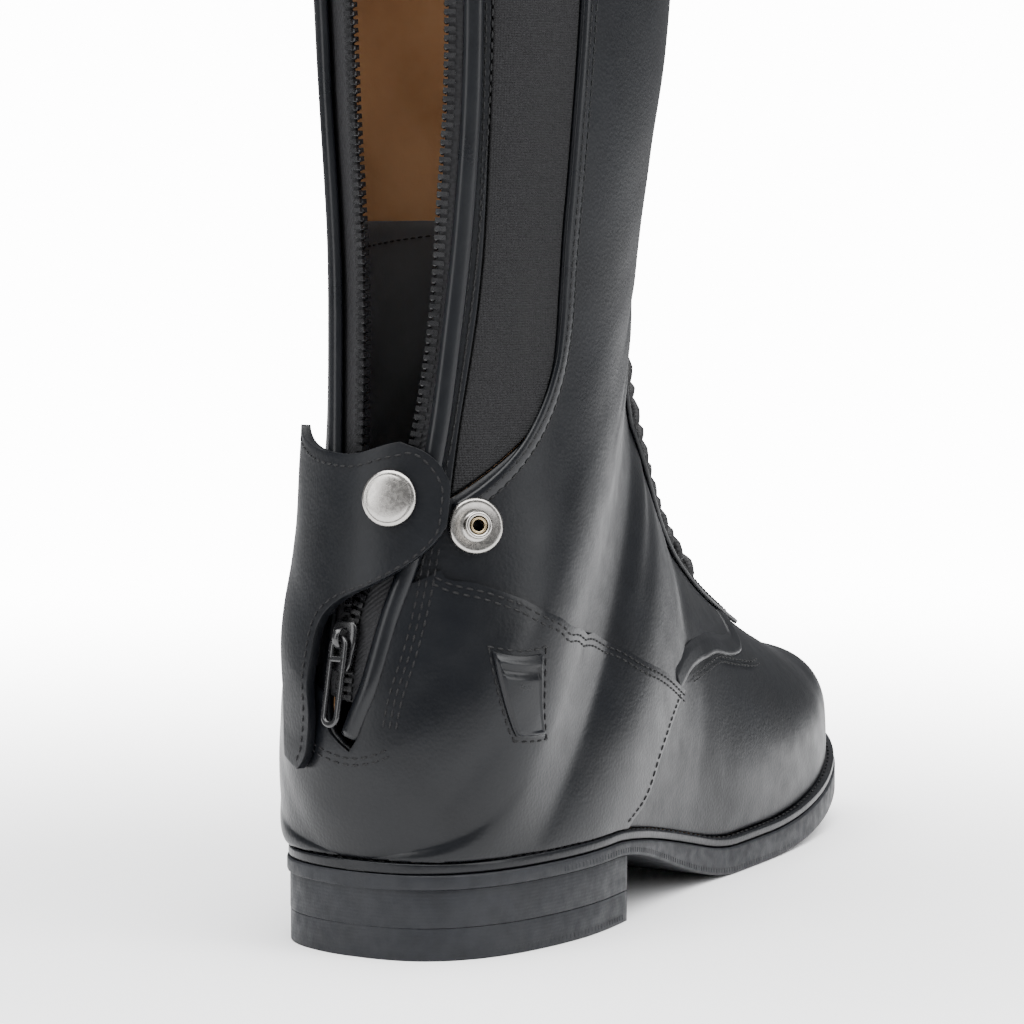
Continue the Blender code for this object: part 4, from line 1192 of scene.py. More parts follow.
@dataclass
class Counter:
    """The heel counter, one raised layer of leather round the back of the foot."""

    low: float = 0.345
    high: float = 0.702
    medial_high: float = 0.650
    parts: tuple = (26, 14)

    def row_of(self, us: Array, shares: Array) -> Array:
        """Stations bent so that the lowest row follows the front seam."""
        near = np.exp(-((us[:, None] - self.low) / 0.03) ** 2)
        return us[:, None] + (line(Keys.COUNTER_SEAM, np.maximum(shares, 0.38)) - self.low) * near

    def build(self, finish: Finishes) -> None:
        """Builds both halves, joined under the zip and open above it."""
        us = Station(self.low, self.high, 84, (FORM.APEX, FORM.HEEL_ROW, self.medial_high)).rows()
        halves = []
        for side in (-1.0, 1.0):
            keys = half_borders(us, side)
            shares = half_shares(us, {k: keys[k] for k in ("front", "back", "end")}, self.parts)
            rows = self.row_of(us, shares) if side < 0 else np.broadcast_to(us[:, None], shares.shape)
            halves.append(FORM.last(rows, shares, side))
        points = np.concatenate([halves[0], halves[1][:, ::-1]], axis=1)
        normals = Bench.grid_normals(points, FORM.centre(us))
        half = sum(self.parts)
        keep = np.ones((len(us) - 1, 2 * half + 1), bool)
        keep[:, half] = False
        keep[us[:-1] >= self.medial_high - 1e-6, half:] = False
        obj = Bench.wall(
            "counter_leather", points, normals, FORM.GAP + FORM.OVERLAY, FORM.GAP - 0.25, keep, seated=True,
        )
        Bench.finish(Bench.soften(obj, 0.5, 3), finish.overlay, "leather", ("counter",))


@dataclass
class Throat:
    """The laced facing, the tongue behind it, and the laces with their knot."""

    edge: float = 0.5
    lace: float = 3.0
    start: float = 0.217
    knot_wraps: tuple = ((0.0, 0.5, 3.0), (1.1, -0.5, 2.7), (2.3, 0.2, 2.4))
    eyelet: tuple = (4.4, 4.4, 0.5)

    def build(self, finish: Finishes) -> None:
        """Builds the facing, the tongue and the laces."""
        us = Station(self.start, Keys.THROAT_ROWS[1], 90, (Keys.THROAT_ROWS[0],)).rows()
        side = np.concatenate(
            [np.linspace(0, Keys.THROAT_SHARE, 5), np.linspace(Keys.THROAT_SHARE, Keys.STAY_SHARE, 9)[1:]]
        )
        shares = np.concatenate([side[::-1], -side[1:]])
        points = FORM.point(Where.OVER, us[:, None], np.broadcast_to(shares, (len(us), len(shares))))
        normals = Bench.grid_normals(points, FORM.centre(us))
        keep = np.ones((len(us) - 1, len(shares) - 1), bool)
        keep[us[:-1] >= Keys.THROAT_ROWS[0] - 1e-6, 8:16] = False
        facing = Bench.wall(
            "lace_facing_leather", points, normals, FORM.GAP + FORM.OVERLAY, FORM.GAP - 0.25, keep,
        )
        Bench.finish(Bench.soften(facing, self.edge), finish.overlay, "leather", ("lace_stay",))
        us = np.linspace(self.start, 0.650, 60)
        borders = half_borders(us, -1.0)
        reach = borders["stay"] + (borders["front"] - borders["stay"]) / 6
        shares = reach[:, None] * np.linspace(1, -1, 27)
        points = FORM.point(Where.OVER, us[:, None], shares)
        normals = Bench.grid_normals(points, FORM.centre(us))
        tongue = Bench.wall("tongue_leather", points, normals, -FORM.WALL - 0.4, -FORM.WALL - 2.4)
        Bench.finish(Bench.soften(tongue, self.edge), finish.calf, "leather", ("tongue",))
        self.laces(finish)
        self.eyelets(finish)

    def bar(self, name: str, start: tuple, end: tuple, steps: int = 17) -> Piece:
        """One stretch of lace over the facing, dipping into the eyelet at both ends."""
        t = np.linspace(0, 1, steps)
        curve = SurfaceCurve(
            Where.OVER, start[0] + (end[0] - start[0]) * t, start[1] + (end[1] - start[1]) * t,
        )
        p, n, run = curve.frames()
        dip = 2.2 * (np.exp(-((t / 0.07) ** 2)) + np.exp(-(((1 - t) / 0.07) ** 2)))
        centres = p + n * (FORM.GAP + FORM.OVERLAY + 0.4 + self.lace / 2 - dip)[:, None]
        across = np.cross(run, n)
        return Bench.tube(name, centres, across, n, oval(self.lace / 2, self.lace / 2, 12))

    def laces(self, finish: Finishes) -> None:
        """The crossings, the straight bar by the toe and the knot at the top."""
        e = Keys.EYELET_SHARE
        for k, (u0, u1) in enumerate(zip(Keys.EYELET_ROWS, Keys.EYELET_ROWS[1:])):
            d = 0.16 * (u1 - u0)
            under = self.bar(f"lace_under_{k + 1}", (u0 + d, e), (u1 - d, -e))
            over = self.bar(f"lace_over_{k + 1}", (u0 + d, -e), (u1 - d, e))
            Bench.finish(over, finish.cord, "cord", (f"lace_cross_{k + 1}",))
            Bench.finish(under, finish.cord, "cord")
        first = Keys.EYELET_ROWS[0] - 0.012
        Bench.finish(self.bar("lace_straight", (first, -e), (first, e)), finish.cord, "cord", ("lace_bar",))
        top = Keys.EYELET_ROWS[-1] + 0.014
        Bench.finish(self.bar("lace_top_bar", (top, -e), (top, e)), finish.cord, "cord", ("lace_knot",))
        place = Bench.place_on(Where.OVER, top, 0.0, 3.9)
        for k, (turn, tilt, size) in enumerate(self.knot_wraps):
            ring = [(size + r, z) for r, z in oval(1.15, 1.15, 10)]
            spin = Matrix.Rotation(turn, 4, "Z") @ Matrix.Rotation(math.pi / 2 + tilt, 4, "X")
            spin = place @ (spin @ Matrix.Diagonal((1.0, 0.8, 0.9, 1.0)))
            wrap = Bench.turned(f"lace_knot_wrap_{k + 1}", ring, 28, spin, ring=True)
            Bench.finish(wrap, finish.cord, "cord")

    def eyelets(self, finish: Finishes) -> None:
        """Glossy discs that mark the punched holes with their worn rims, one on each side of the throat."""
        for side, name in ((-1.0, "lateral"), (1.0, "medial")):
            us = np.array(Keys.EYELET_ROWS)
            p, n, along, _ = FORM.frame(Where.OVER, us, np.full(len(us), side * Keys.EYELET_SHARE))
            obj = BEADS.make(
                f"punched_eyelets_{name}", p + n * 1.45, unit(along), n, self.eyelet, finish.plastic,
            )
            Bench.finish(obj, finish.plastic, "leather")


@dataclass
class ElasticGore:
    """The woven elastic panel in the calf and the folded leather edge at its front."""

    margin: float = 0.0045
    fold: float = 4.6
    weave_rows: tuple = (0.7295, 0.9735)
    backing_rows: tuple = (0.7282, 0.9748)

    def build(self, finish: Finishes) -> None:
        """Builds the elastic and its folded front edge."""
        us = np.linspace(*self.weave_rows, 90)
        keys = half_borders(us, -1.0)
        t = np.linspace(0, 1, 40)
        low, high = keys["front"] + self.margin, keys["back"] - self.margin
        shares = low[:, None] + (high - low)[:, None] * t
        points = FORM.last(us[:, None], shares, -1.0)
        normals = Bench.grid_normals(points, FORM.centre(us))
        along = np.sin(np.pi * np.linspace(0, 1, len(us)))[:, None] ** 0.4
        swell = 0.35 * np.sin(np.pi * t)[None, :] * along
        gore = Bench.wall("elastic_weave", points, normals, -0.5 + swell, -1.9)
        Bench.finish(Bench.soften(gore, 0.3), finish.elastic, "elastic", ("elastic_panel",))
        us = np.linspace(*self.backing_rows, 90)
        keys = half_borders(us, -1.0)
        points = FORM.last(
            us[:, None], keys["front"][:, None] + (keys["back"] - keys["front"])[:, None] * t, -1.0,
        )
        backing = Bench.wall(
            "elastic_backing", points, Bench.grid_normals(points, FORM.centre(us)), -2.02, -2.2,
        )
        Bench.finish(backing, finish.elastic, "elastic")
        self.folded_edge(finish)

    def border(self) -> SurfaceCurve:
        """The window's border from the top of its front edge round the lower corner to the back."""
        us = np.linspace(0.974, 0.765, 24)
        path = list(zip(us, line(Keys.FRONT, us)))
        path += [
            (0.752, 0.634), (0.742, 0.643), (0.7345, 0.662), (0.7285, 0.695), (0.7262, 0.735),
            (0.7255, 0.780), (0.7255, 0.826),
        ]
        return SurfaceCurve.through(Where.LATERAL, path, 200)

    def folded_edge(self, finish: Finishes) -> None:
        """The leather folded over the elastic's front and lower borders, with its two stitch rows."""
        inner = self.border()
        sign = 1.0 if inner.shifted(1.0).s[:80].mean() < inner.s[:80].mean() else -1.0
        outer = inner.shifted(sign * self.fold)
        profile = [
            (0.0, 0.1), (0.06, 0.65), (0.2, 0.95), (0.45, 0.95), (0.75, 0.65), (0.94, 0.3), (1.0, 0.08),
        ]
        folded = Bench.band("elastic_folded_edge", inner, outer, profile, [(0, -0.1), (1, -0.1)])
        for k, by in enumerate((2.3, 4.6)):
            p, n, run = inner.shifted(sign * by).spaced(Stitching.PITCH, 0.5, 2.0).frames()
            stitch_row(f"elastic_edge_stitches_{k + 1}", p + n * (0.95 - 0.7 * k), run, n, finish)
        Bench.finish(folded, finish.glossy, "leather")


@dataclass
class BackZip:
    """The back zip: tapes, teeth, rolls, slider and pull."""

    pitch: float = 2.2
    tooth_share: float = 0.009
    tooth: tuple = (1.25, 3.0, 2.4)
    head: tuple = (1.7, 1.9, 2.3)
    depth: float = 1.5
    slider_spot: tuple = (0.672, 0.0365)
    hinge: tuple = (-38.23, 4.43, 82.33)
    bar_power: tuple = (0.7, 0.7)

    def build(self, finish: Finishes) -> None:
        """Builds both sides of the zip, the slider and the pull."""
        sides = (
            ("lateral", Keys.TEETH_LATERAL, Keys.CUT_LATERAL, Keys.ROLL_LATERAL, -1.0, 0.630),
            ("medial", Keys.TEETH_MEDIAL, Keys.CUT_MEDIAL, Keys.ROLL_MEDIAL, 1.0, 0.688),
        )
        for name, teeth, cut, roll, way, start in sides:
            us = np.linspace(0.650, 0.997, 110)
            inner, end = line(teeth, us), line(cut, us) - way * 0.004
            first = SurfaceCurve(Where.AROUND, us, inner + way * 0.006)
            second = SurfaceCurve(Where.AROUND, us, end)
            profile = [(0, -0.9), (0.3, -0.9), (0.7, -0.9), (1, -0.9)]
            tape = Bench.band(f"zip_tape_{name}", first, second, profile, [(0, -2.1), (1, -2.1)])
            Bench.finish(tape, finish.tape, "zip", (f"zip_{name}",))
            curve = SurfaceCurve(Where.AROUND, us, inner + way * self.tooth_share)
            row = curve.spaced(self.pitch, 1.0, 1.0)
            p, n, run = row.frames()
            sideways = np.cross(n, run)
            blocks = BLOCKS.make(
                f"zip_teeth_{name}", p - n * self.depth, run, n, self.tooth, finish.plastic,
            )
            Bench.finish(blocks, finish.plastic, "zip")
            tips = FORM.point(Where.AROUND, row.u, row.s - way * 0.006) - n * self.depth
            heads = BEADS.make(f"zip_tooth_heads_{name}", tips, sideways, n, self.head, finish.plastic)
            Bench.finish(heads, finish.plastic, "zip")
            us = np.linspace(start, 0.999, 130)
            curve = SurfaceCurve(Where.AROUND, us, line(roll, us) + way * 0.0225)
            p, n, run = curve.frames()
            ring = [
                (2.7 * math.cos(a), 0.45 + 2.4 * max(0.0, math.sin(a)) ** 0.85)
                for a in np.linspace(0, math.pi, 15)
            ]
            rope = Bench.tube(f"roll_{name}_leather", p, np.cross(run, n), n, ring)
            Bench.finish(rope, finish.glossy, "leather", (f"roll_{name}",))
        self.slider(finish)
        self.pull(finish)

    def slider(self, finish: Finishes) -> None:
        """The slider's body with its bridge, in local sizes: Y up the boot and Z outwards."""
        place = Bench.place_on(Where.AROUND, *self.slider_spot, 0.0)
        ys = np.linspace(-3.5, 9.5, 27)
        shape = np.clip(1 - np.abs((ys - 3.0) / 6.5) ** 5, 0.0, 1.0) ** 0.2
        half = (3.3 + 0.7 * smooth((ys + 1.0) / 6.0)) * np.maximum(shape, 0.72)
        ring = oval(1.0, 0.95, 16, (0.5, 0.6))
        verts = [(h * c, y, 1.05 + q) for y, h in zip(ys, half) for c, q in ring]
        body = Bench.object_of("zip_slider_body", Bench.moved(place, verts), Bench.sleeve(len(ys), 16))
        Bench.finish(body, finish.plastic, "zip", ("zip_slider",))
        turn = np.array(place.to_3x3())
        t = np.linspace(0, math.pi, 25)
        path = np.stack([0 * t, 5.0 + 2.7 * np.cos(t), 1.5 + 3.4 * np.sin(t) ** 0.8], 1)
        centres = Bench.moved(place, path)
        run = np.gradient(centres, axis=0)
        side = np.broadcast_to(turn[:, 0], centres.shape)
        out = unit(np.cross(side, run))
        bridge = Bench.tube("zip_slider_bridge", centres, side, out, oval(1.1, 0.5, 10))
        Bench.finish(bridge, finish.plastic, "zip")

    def pull(self, finish: Finishes) -> None:
        """The moulded pull: a long rounded loop with a crossbar, hung in the bridge."""
        place = Bench.place_on(Where.AROUND, *self.slider_spot, 0.0)
        turn = np.array(place.to_3x3())
        hinge = place.inverted() @ Vector(self.hinge)
        reach, low, high = 2.15, hinge.y - 20.2, hinge.y - 2.15
        t = np.linspace(0, 2 * math.pi, 72, endpoint=False)
        rise = np.where(np.sin(t) > 0, high, low) + reach * np.sin(t)
        path = np.stack([reach * np.cos(t), rise, hinge.z + 0 * t], 1)
        run = unit(np.roll(path, -1, 0) - np.roll(path, 1, 0))
        side = np.stack([run[:, 1], -run[:, 0], 0 * t], 1)
        ring = oval(0.85, 0.62, 14, self.bar_power)
        verts = [p + d * c + np.array((0.0, 0.0, q)) for p, d in zip(path, side) for c, q in ring]
        faces = Bench.sleeve(len(path), len(ring), closed=True)
        loop = Bench.object_of("zip_pull_loop", Bench.moved(place, verts), faces)
        Bench.finish(loop, finish.plastic, "zip", ("zip_pull",), PULL_BODY)
        bar = Bench.moved(place, [(x, hinge.y - 5.5, hinge.z) for x in np.linspace(-2.4, 2.4, 9)])
        along, out = (np.broadcast_to(turn[:, k], bar.shape) for k in (1, 2))
        crossbar = Bench.tube("zip_pull_crossbar", bar, along, out, ring)
        Bench.finish(crossbar, finish.plastic, "zip", (), PULL_BODY)


@dataclass
class SnapFlap:
    """The flap that holds the zip's pull under a press fastener."""

    rows: int = 70
    cols: int = 48
    inset: float = 2.3
    thick: float = 2.6
    snap: float = 14.5
    cap_spot: tuple = (0.735, -0.062, 6.6)
    stud_spot: tuple = (0.711, -0.226, 0.45)

    def surface(self, u: Array, t: Array) -> tuple[Array, Array]:
        """The flap's inner side.

        Args:
            u: Stations.
            t: Shares of the width, from the right edge to the left.
        Returns:
            Points of the boot below the flap, and the flap's lift over them.
        """
        right, left = line(Keys.FLAP_RIGHT, u), line(Keys.FLAP_LEFT, u) - 0.028 * smooth((u - 0.66) / 0.06)
        a = right + (left - right) * t
        drop = 0.0035 * smooth((a + 0.06) / 0.10) + 0.007 * smooth((a - 0.02) / 0.24)
        drop = drop * np.clip((u - 0.70) / 0.054, 0, 1)
        lift = 1.9 + 1.6 * smooth((u - 0.615) / 0.04)
        lift = lift + 0.7 * smooth((a - 0.13) / 0.12) * smooth((u - 0.70) / 0.04)
        return FORM.point(Where.AROUND, u - drop, a), lift

    def build(self, finish: Finishes) -> None:
        """Builds the leather, its stitches, the cap and the stud."""
        us = np.linspace(0.598, 0.754, self.rows)
        u, t = np.meshgrid(us, np.linspace(0, 1, self.cols), indexing="ij")
        points, lift = self.surface(u, t)
        normals = Bench.grid_normals(points, FORM.centre(us))
        flap = Bench.wall("snap_flap_leather", points, normals, lift + self.thick, lift)
        Bench.finish(Bench.soften(flap, 0.8, 3), finish.calf, "leather", ("snap_flap",))
        self.stitches(us, points + normals * (lift + self.thick)[..., None], normals, finish)
        self.snaps(finish)

    def stitches(self, us: Array, top: Array, normals: Array, finish: Finishes) -> None:
        """One row of stitches just inside the flap's edge."""
        span = np.cumsum(np.linalg.norm(np.diff(top, axis=1), axis=2), axis=1)
        span = np.concatenate([np.zeros((len(us), 1)), span], axis=1)
        rise = lengths(top[:, self.cols // 2])
        rows = [i for i in range(len(us)) if self.inset < rise[i] < rise[-1] - self.inset]
        path, out = [], []
        for i in rows:
            j = np.interp(self.inset, span[i], np.arange(self.cols))
            path.append(self.between(top[i], j))
            out.append(self.between(normals[i], j))
        end = rows[-1]
        left = np.interp(span[end, -1] - self.inset, span[end], np.arange(self.cols))
        for j in np.linspace(np.interp(self.inset, span[end], np.arange(self.cols)), left, 40):
            path.append(self.between(top[end], j))
            out.append(self.between(normals[end], j))
        path, out = np.array(path), np.array(out)
        t = lengths(path)
        at = np.arange(0.5, t[-1], Stitching.PITCH)
        p, n = read_at(at, t, path), read_at(at, t, out)
        stitch_row("flap_stitches", p + n * 0.05, np.gradient(p, axis=0), n, finish)

    @staticmethod
    def between(row: Array, j: float) -> Array:
        """A row of points read at a fractional column."""
        i = min(int(j), len(row) - 2)
        return row[i] + (row[i + 1] - row[i]) * (j - i)

    def snaps(self, finish: Finishes) -> None:
        """The cap on the flap and the bare stud beside it."""
        r = self.snap / 2
        cap = [
            (0.0, 0.0), (r - 0.5, 0.0), (r - 0.12, 0.12), (r, 0.45), (r, 0.8), (r - 0.12, 1.1),
            (r - 0.4, 1.36), (r - 0.8, 1.50), (r - 1.05, 1.53), (r - 1.2, 1.50), (r - 1.4, 1.60),
            (r - 2.4, 1.78), (3.4, 1.95), (1.8, 2.05), (0.0, 2.1),
        ]
        place = Bench.place_on(Where.AROUND, *self.cap_spot)
        Bench.finish(Bench.turned("snap_cap_nickel", cap, 72, place), finish.nickel, "metal", ("snap_cap",))
        place = Bench.place_on(Where.AROUND, *self.stud_spot)
        stud = [
            (1.9, 0.1), (r - 0.4, 0.0), (r - 0.05, 0.2), (r, 0.6), (r - 0.25, 1.15), (r - 0.7, 1.45),
            (r - 1.4, 1.35), (4.4, 0.95), (3.6, 1.0), (3.15, 1.35), (3.0, 2.2), (3.1, 3.2), (3.5, 3.75),
            (3.55, 4.2), (3.3, 4.6), (2.9, 4.7), (2.5, 4.5), (2.3, 4.0), (2.2, 1.0),
        ]
        stud_body = Bench.turned("snap_stud_nickel", stud, 60, place, ring=True)
        Bench.finish(stud_body, finish.nickel, "metal", ("snap_stud",))
        inner = [(2.15, 3.9), (2.15, 4.15), (1.95, 4.3), (1.6, 4.2), (1.45, 3.8), (1.45, 1.4), (2.15, 1.4)]
        Bench.finish(Bench.turned("snap_stud_ring", inner, 48, place, ring=True), finish.brass, "metal")


@dataclass
class Plaque:
    """The bare raised badge on the counter's outer side."""

    rim: float = 0.09
    corners: tuple = ((0.640, 0.713), (0.601, 0.590), (0.519, 0.574), (0.563, 0.650))
    steps: int = 45

    def build(self, finish: Finishes) -> None:
        """Builds the badge with its rim, recess and sloping wedge."""
        t = np.linspace(0, 1, self.steps)
        s, w = np.meshgrid(t, t, indexing="xy")
        tl, tr, br, bl = (np.array(c) for c in self.corners)
        left, right = tl + (bl - tl) * w[..., None], tr + (br - tr) * w[..., None]
        at = left + (right - left) * s[..., None]
        points = FORM.last(at[..., 0], at[..., 1], -1.0)
        normals = Bench.grid_normals(points, FORM.centre(at[:, 0, 0]))
        edge = np.minimum(np.minimum(s, 1 - s), np.minimum(w, 1 - w))
        rim = smooth((edge - 0.03) / 0.03) * (1 - smooth((edge - self.rim) / 0.03))
        inside = smooth((edge - self.rim) / 0.03)
        wedge = inside * smooth((w - 0.16) / 0.05) * (0.30 + 0.75 * (1 - s))
        height = 2.05 + 0.75 * rim + wedge
        badge = Bench.wall("counter_badge", points, normals, height, 1.5)
        Bench.finish(Bench.soften(badge, 0.25), finish.glossy, "leather", ("plaque",))


@dataclass
class Sole:
    """Outsole, welt, insole, heel block and heel lift."""

    stations: int = 220
    rib_pitch: float = 1.7
    rib: tuple = (0.75, 1.3, 0.7)
    insole_inset: float = 8.5
    insole_thick: float = 3.0
    welt_pitch: float = 3.2
    breast: float = math.acos(1 - 2 * (FORM.BREAST - FORM.X_BACK) / FORM.SOLE_L) / math.pi

    @staticmethod
    def plate(name: str, w: Array, by: float, low: Array, high: Array,
              bevel: float) -> Piece:
        """A plate with the sole's plan and rounded edges.

        Args:
            name: Object name.
            w: Stations of the plan.
            by: How far the edge moves in.
            low: Height of the underside at each station.
            high: Height of the top at each station.
            bevel: Width of the rounded edges.
        Returns:
            The linked object.
        """
        x, lat, med = FORM.outline(w, by)
        b = np.minimum(bevel, (med - lat) / 4)
        turns = [(1.0, 0.0), (0.3, 0.3), (0.0, 1.0)]
        rows = []
        for side, edge in ((1.0, lat), (-1.0, med)):
            corner = [(edge + side * b * c, low + b * s) for c, s in turns]
            top = [(edge + side * b * c, high - b * s) for c, s in turns[::-1]]
            rows.append(corner + top)
        ring = rows[0] + rows[1][::-1]
        verts = np.stack([np.stack([x, y, z], -1) for y, z in ring], 1)
        obj = Bench.object_of(name, verts.reshape(-1, 3), Bench.sleeve(len(w), len(ring)))
        for face in obj.data.polygons:
            face.use_smooth = len(face.vertices) == 4 and abs(face.normal.z) < 0.995
        return obj

    def build(self, finish: Finishes) -> None:
        """Builds the layers from the insole down to the lift."""
        full = np.concatenate(
            [[0.012, 0.014, 0.017], np.linspace(0.02, 0.98, self.stations), [0.983, 0.986, 0.988]]
        )
        x = FORM.outline(full)[0]
        top = FORM.sole_top(x)
        outsole = self.plate(
            "outsole_rubber", full, 0.0, FORM.sole_bottom(x), top - FORM.WELT_T - FORM.GAP, 0.6,
        )
        Bench.finish(outsole, finish.rubber, "rubber", ("outsole",))
        x = FORM.outline(full, 0.4)[0]
        top = FORM.sole_top(x)
        Bench.finish(
            self.plate("welt_leather", full, 0.4, top - FORM.WELT_T, top, 0.6), finish.overlay, "leather",
            ("welt",),
        )
        inner = np.linspace(0.03, 0.975, 90)
        x = FORM.outline(inner, self.insole_inset)[0]
        top = FORM.sole_top(x) + FORM.GAP
        board = self.plate("insole_board", inner, self.insole_inset, top, top + self.insole_thick, 0.5)
        Bench.finish(board, finish.lining, "lining", ("insole",))
        heel = np.concatenate([[0.012, 0.015], np.linspace(0.02, self.breast, 90)])
        x = FORM.outline(heel, 0.8)[0]
        block = self.plate(
            "heel_stack", heel, 0.8, FORM.HEEL_LIFT + 0.04 + 0 * x, FORM.sole_bottom(x) - 0.05, 0.2,
        )
        Bench.finish(block, finish.heel, "rubber", ("heel_block",))
        lift = self.plate("heel_top_lift", heel, 0.9, 0 * x, FORM.HEEL_LIFT + 0 * x, 0.25)
        Bench.finish(lift, finish.heel, "rubber", ("heel_lift",))
        self.ribs(finish)
        self.welt_stitches(finish)

    def edge_path(self, by: float, start: float, stop: float, pitch: float) -> tuple[Array, Array]:
        """Spots along the sole's edge: lateral, round the back and medial.

        Args:
            by: How far they lie inside the edge.
            start: First station.
            stop: Last station.
            pitch: Their distance.
        Returns:
            Plan points and outward directions.
        """
        w = np.concatenate([np.linspace(stop, start, 400), np.linspace(start, stop, 400)])
        x, lat, med = FORM.outline(w, by)
        y = np.where(np.arange(800) < 400, lat, med)
        edge = np.column_stack([x, y])
        t = lengths(edge)
        plan = read_at(np.arange(pitch, t[-1], pitch), t, edge)
        run = unit(np.gradient(plan, axis=0))
        return plan, np.stack([-run[:, 1], run[:, 0]], 1)

    def ribs(self, finish: Finishes) -> None:
        """The fine serration along the lower edges of the outsole and the lift."""
        plan, out = self.edge_path(0.35, 0.25, 0.985, self.rib_pitch)
        z = FORM.sole_bottom(plan[:, 0]) + 1.5
        self.rib_row("outsole_edge_ribs", plan, out, z, finish)
        plan, out = self.edge_path(1.25, 0.02, self.breast - 0.004, self.rib_pitch)
        self.rib_row("heel_edge_ribs", plan, out, np.full(len(plan), 1.6), finish)

    def rib_row(self, name: str, plan: Array, out: Array, z: Array, finish: Finishes) -> None:
        """One row of upright ribs."""
        run = np.stack([out[:, 1], -out[:, 0], 0 * z], 1)
        normal = np.stack([out[:, 0], out[:, 1], 0 * z], 1)
        obj = BLOCKS.make(name, np.column_stack([plan, z]), run, normal, self.rib, finish.rubber)
        Bench.finish(obj, finish.rubber, "rubber")

    def welt_stitches(self, finish: Finishes) -> None:
        """The stitches on the welt's top, close to the upper."""
        plan, out = self.edge_path(2.2, 0.02, 0.975, self.welt_pitch)
        z = FORM.sole_top(plan[:, 0]) + 0.05
        run = np.column_stack([out[:, 1], -out[:, 0], np.gradient(z) / self.welt_pitch])
        up = np.zeros((len(z), 3))
        up[:, 2] = 1.0
        obj = BEADS.make(
            "welt_stitches", np.column_stack([plan, z]), run, up, (2.4, 0.8, 0.6), finish.thread,
        )
        Bench.finish(obj, finish.thread, "cord")


class Stitching:
    """The stitch rows on the upper, each a curve on the surface at the height of its layer."""

    PITCH = 2.75
    THREAD = (2.05, 0.62, 0.46)
    RISE = 0.06
    LAYER = FORM.GAP + FORM.OVERLAY

    def rows(self) -> list[tuple[str, SurfaceCurve, float]]:
        """Name, curve and height of each row."""
        found: list[tuple[str, SurfaceCurve, float]] = []

        def add(name: str, where: Where, points: list, height: float, *shifts: float) -> None:
            """One row for each sideways shift."""
            curve = SurfaceCurve.through(where, points)
            for k, by in enumerate(shifts):
                found.append((f"{name}_{k + 1}", curve.shifted(by), height))

        us = np.linspace(0.334, 0.700, 50)
        add(
            "counter_top_stitches", Where.LATERAL, list(zip(us, line(Keys.FRONT, us))), self.LAYER, 1.4,
            3.2,
        )
        v = np.linspace(0.41, 0.95, 40)
        add(
            "front_seam_stitches", Where.LATERAL, list(zip(line(Keys.COUNTER_SEAM, v), v)), self.LAYER,
            -1.5,
        )
        vamp = [
            (0.319, 0.354), (0.298, 0.317), (0.280, 0.287), (0.257, 0.275), (0.243, 0.271),
            (0.236, 0.262),
        ]
        add("vamp_seam_stitches", Where.LATERAL, vamp, 0.75, -1.6, -3.2)
        us = np.linspace(0.232, 0.615, 60)
        add("facing_stitches", Where.LATERAL, [(u, Keys.STAY_SHARE) for u in us], self.LAYER, -1.5, -3.2)
        add(
            "facing_stitches_medial", Where.MEDIAL, [(u, Keys.STAY_SHARE) for u in us], self.LAYER, 1.5,
            3.2,
        )
        seam = [(0.713, 0.871), (0.694, 0.879), (0.674, 0.892), (0.650, 0.917), (0.636, 0.926)]
        add("back_seam_stitches", Where.LATERAL, seam, self.LAYER, 0.0, 1.7, 3.4)
        level = [(0.619, -0.072), (0.617, -0.04), (0.616, 0.0), (0.617, 0.04), (0.618, 0.09)]
        add("heel_level_stitches", Where.AROUND, level, self.LAYER, 0.0, 1.7)
        us = np.linspace(0.745, 0.972, 60)
        add(
            "elastic_back_stitches", Where.LATERAL, [(u, float(line(Keys.BACK, u))) for u in us], 0.05, 1.3,
            3.0,
        )
        us = np.linspace(0.70, 0.995, 70)
        add(
            "roll_stitches_lateral", Where.AROUND,
            [(u, float(line(Keys.ROLL_LATERAL, u)) - 0.054) for u in us], 0.05, 0.0,
        )
        add(
            "roll_stitches_medial", Where.AROUND,
            [(u, float(line(Keys.ROLL_MEDIAL, u)) + 0.054) for u in us], 0.05, 0.0,
        )
        add(
            "medial_strip_stitches", Where.MEDIAL, [(0.615, 0.754), (0.640, 0.760), (0.680, 0.770)], 0.05,
            0.0, 1.7,
        )
        corners = [np.array(c) for c in ((0.645, 0.722), (0.602, 0.580), (0.507, 0.563), (0.560, 0.654))]
        ring = corners + corners[:1]
        for k, (a, b) in enumerate(zip(ring, ring[1:])):
            pts = [tuple(a + (b - a) * t) for t in np.linspace(0.03, 0.97, 8)]
            add(f"badge_stitches_{k + 1}", Where.LATERAL, pts, self.LAYER, 0.0)
        return found

    def build(self, finish: Finishes) -> None:
        """Builds every row."""
        for name, curve, height in self.rows():
            p, n, run = curve.spaced(self.PITCH).frames()
            stitch_row(name, p + n * (height + self.RISE), run, n, finish)


@dataclass
class CollarBand:
    """The bound edge at the top of the shaft."""

    low: float = 0.980
    high: float = 0.9985
    columns: int = 121

    def build(self, finish: Finishes) -> None:
        """Builds the band round the collar."""
        us = np.linspace(self.low, self.high, 8)
        lat, med = half_borders(us, -1.0), half_borders(us, 1.0)
        t = np.linspace(1, -1, self.columns)
        reach = np.where(t < 0, lat["back"][:, None], med["back"][:, None])
        points = FORM.point(Where.OVER, us[:, None], reach * t)
        normals = Bench.grid_normals(points, FORM.centre(us))
        swell = 1.0 * np.sin(np.pi * np.linspace(0.12, 0.88, len(us)))[:, None]
        band = Bench.wall("collar_band_leather", points, normals, FORM.GAP + swell + 0 * t, FORM.GAP - 0.25)
        Bench.finish(band, finish.overlay, "leather", ("top_band",))


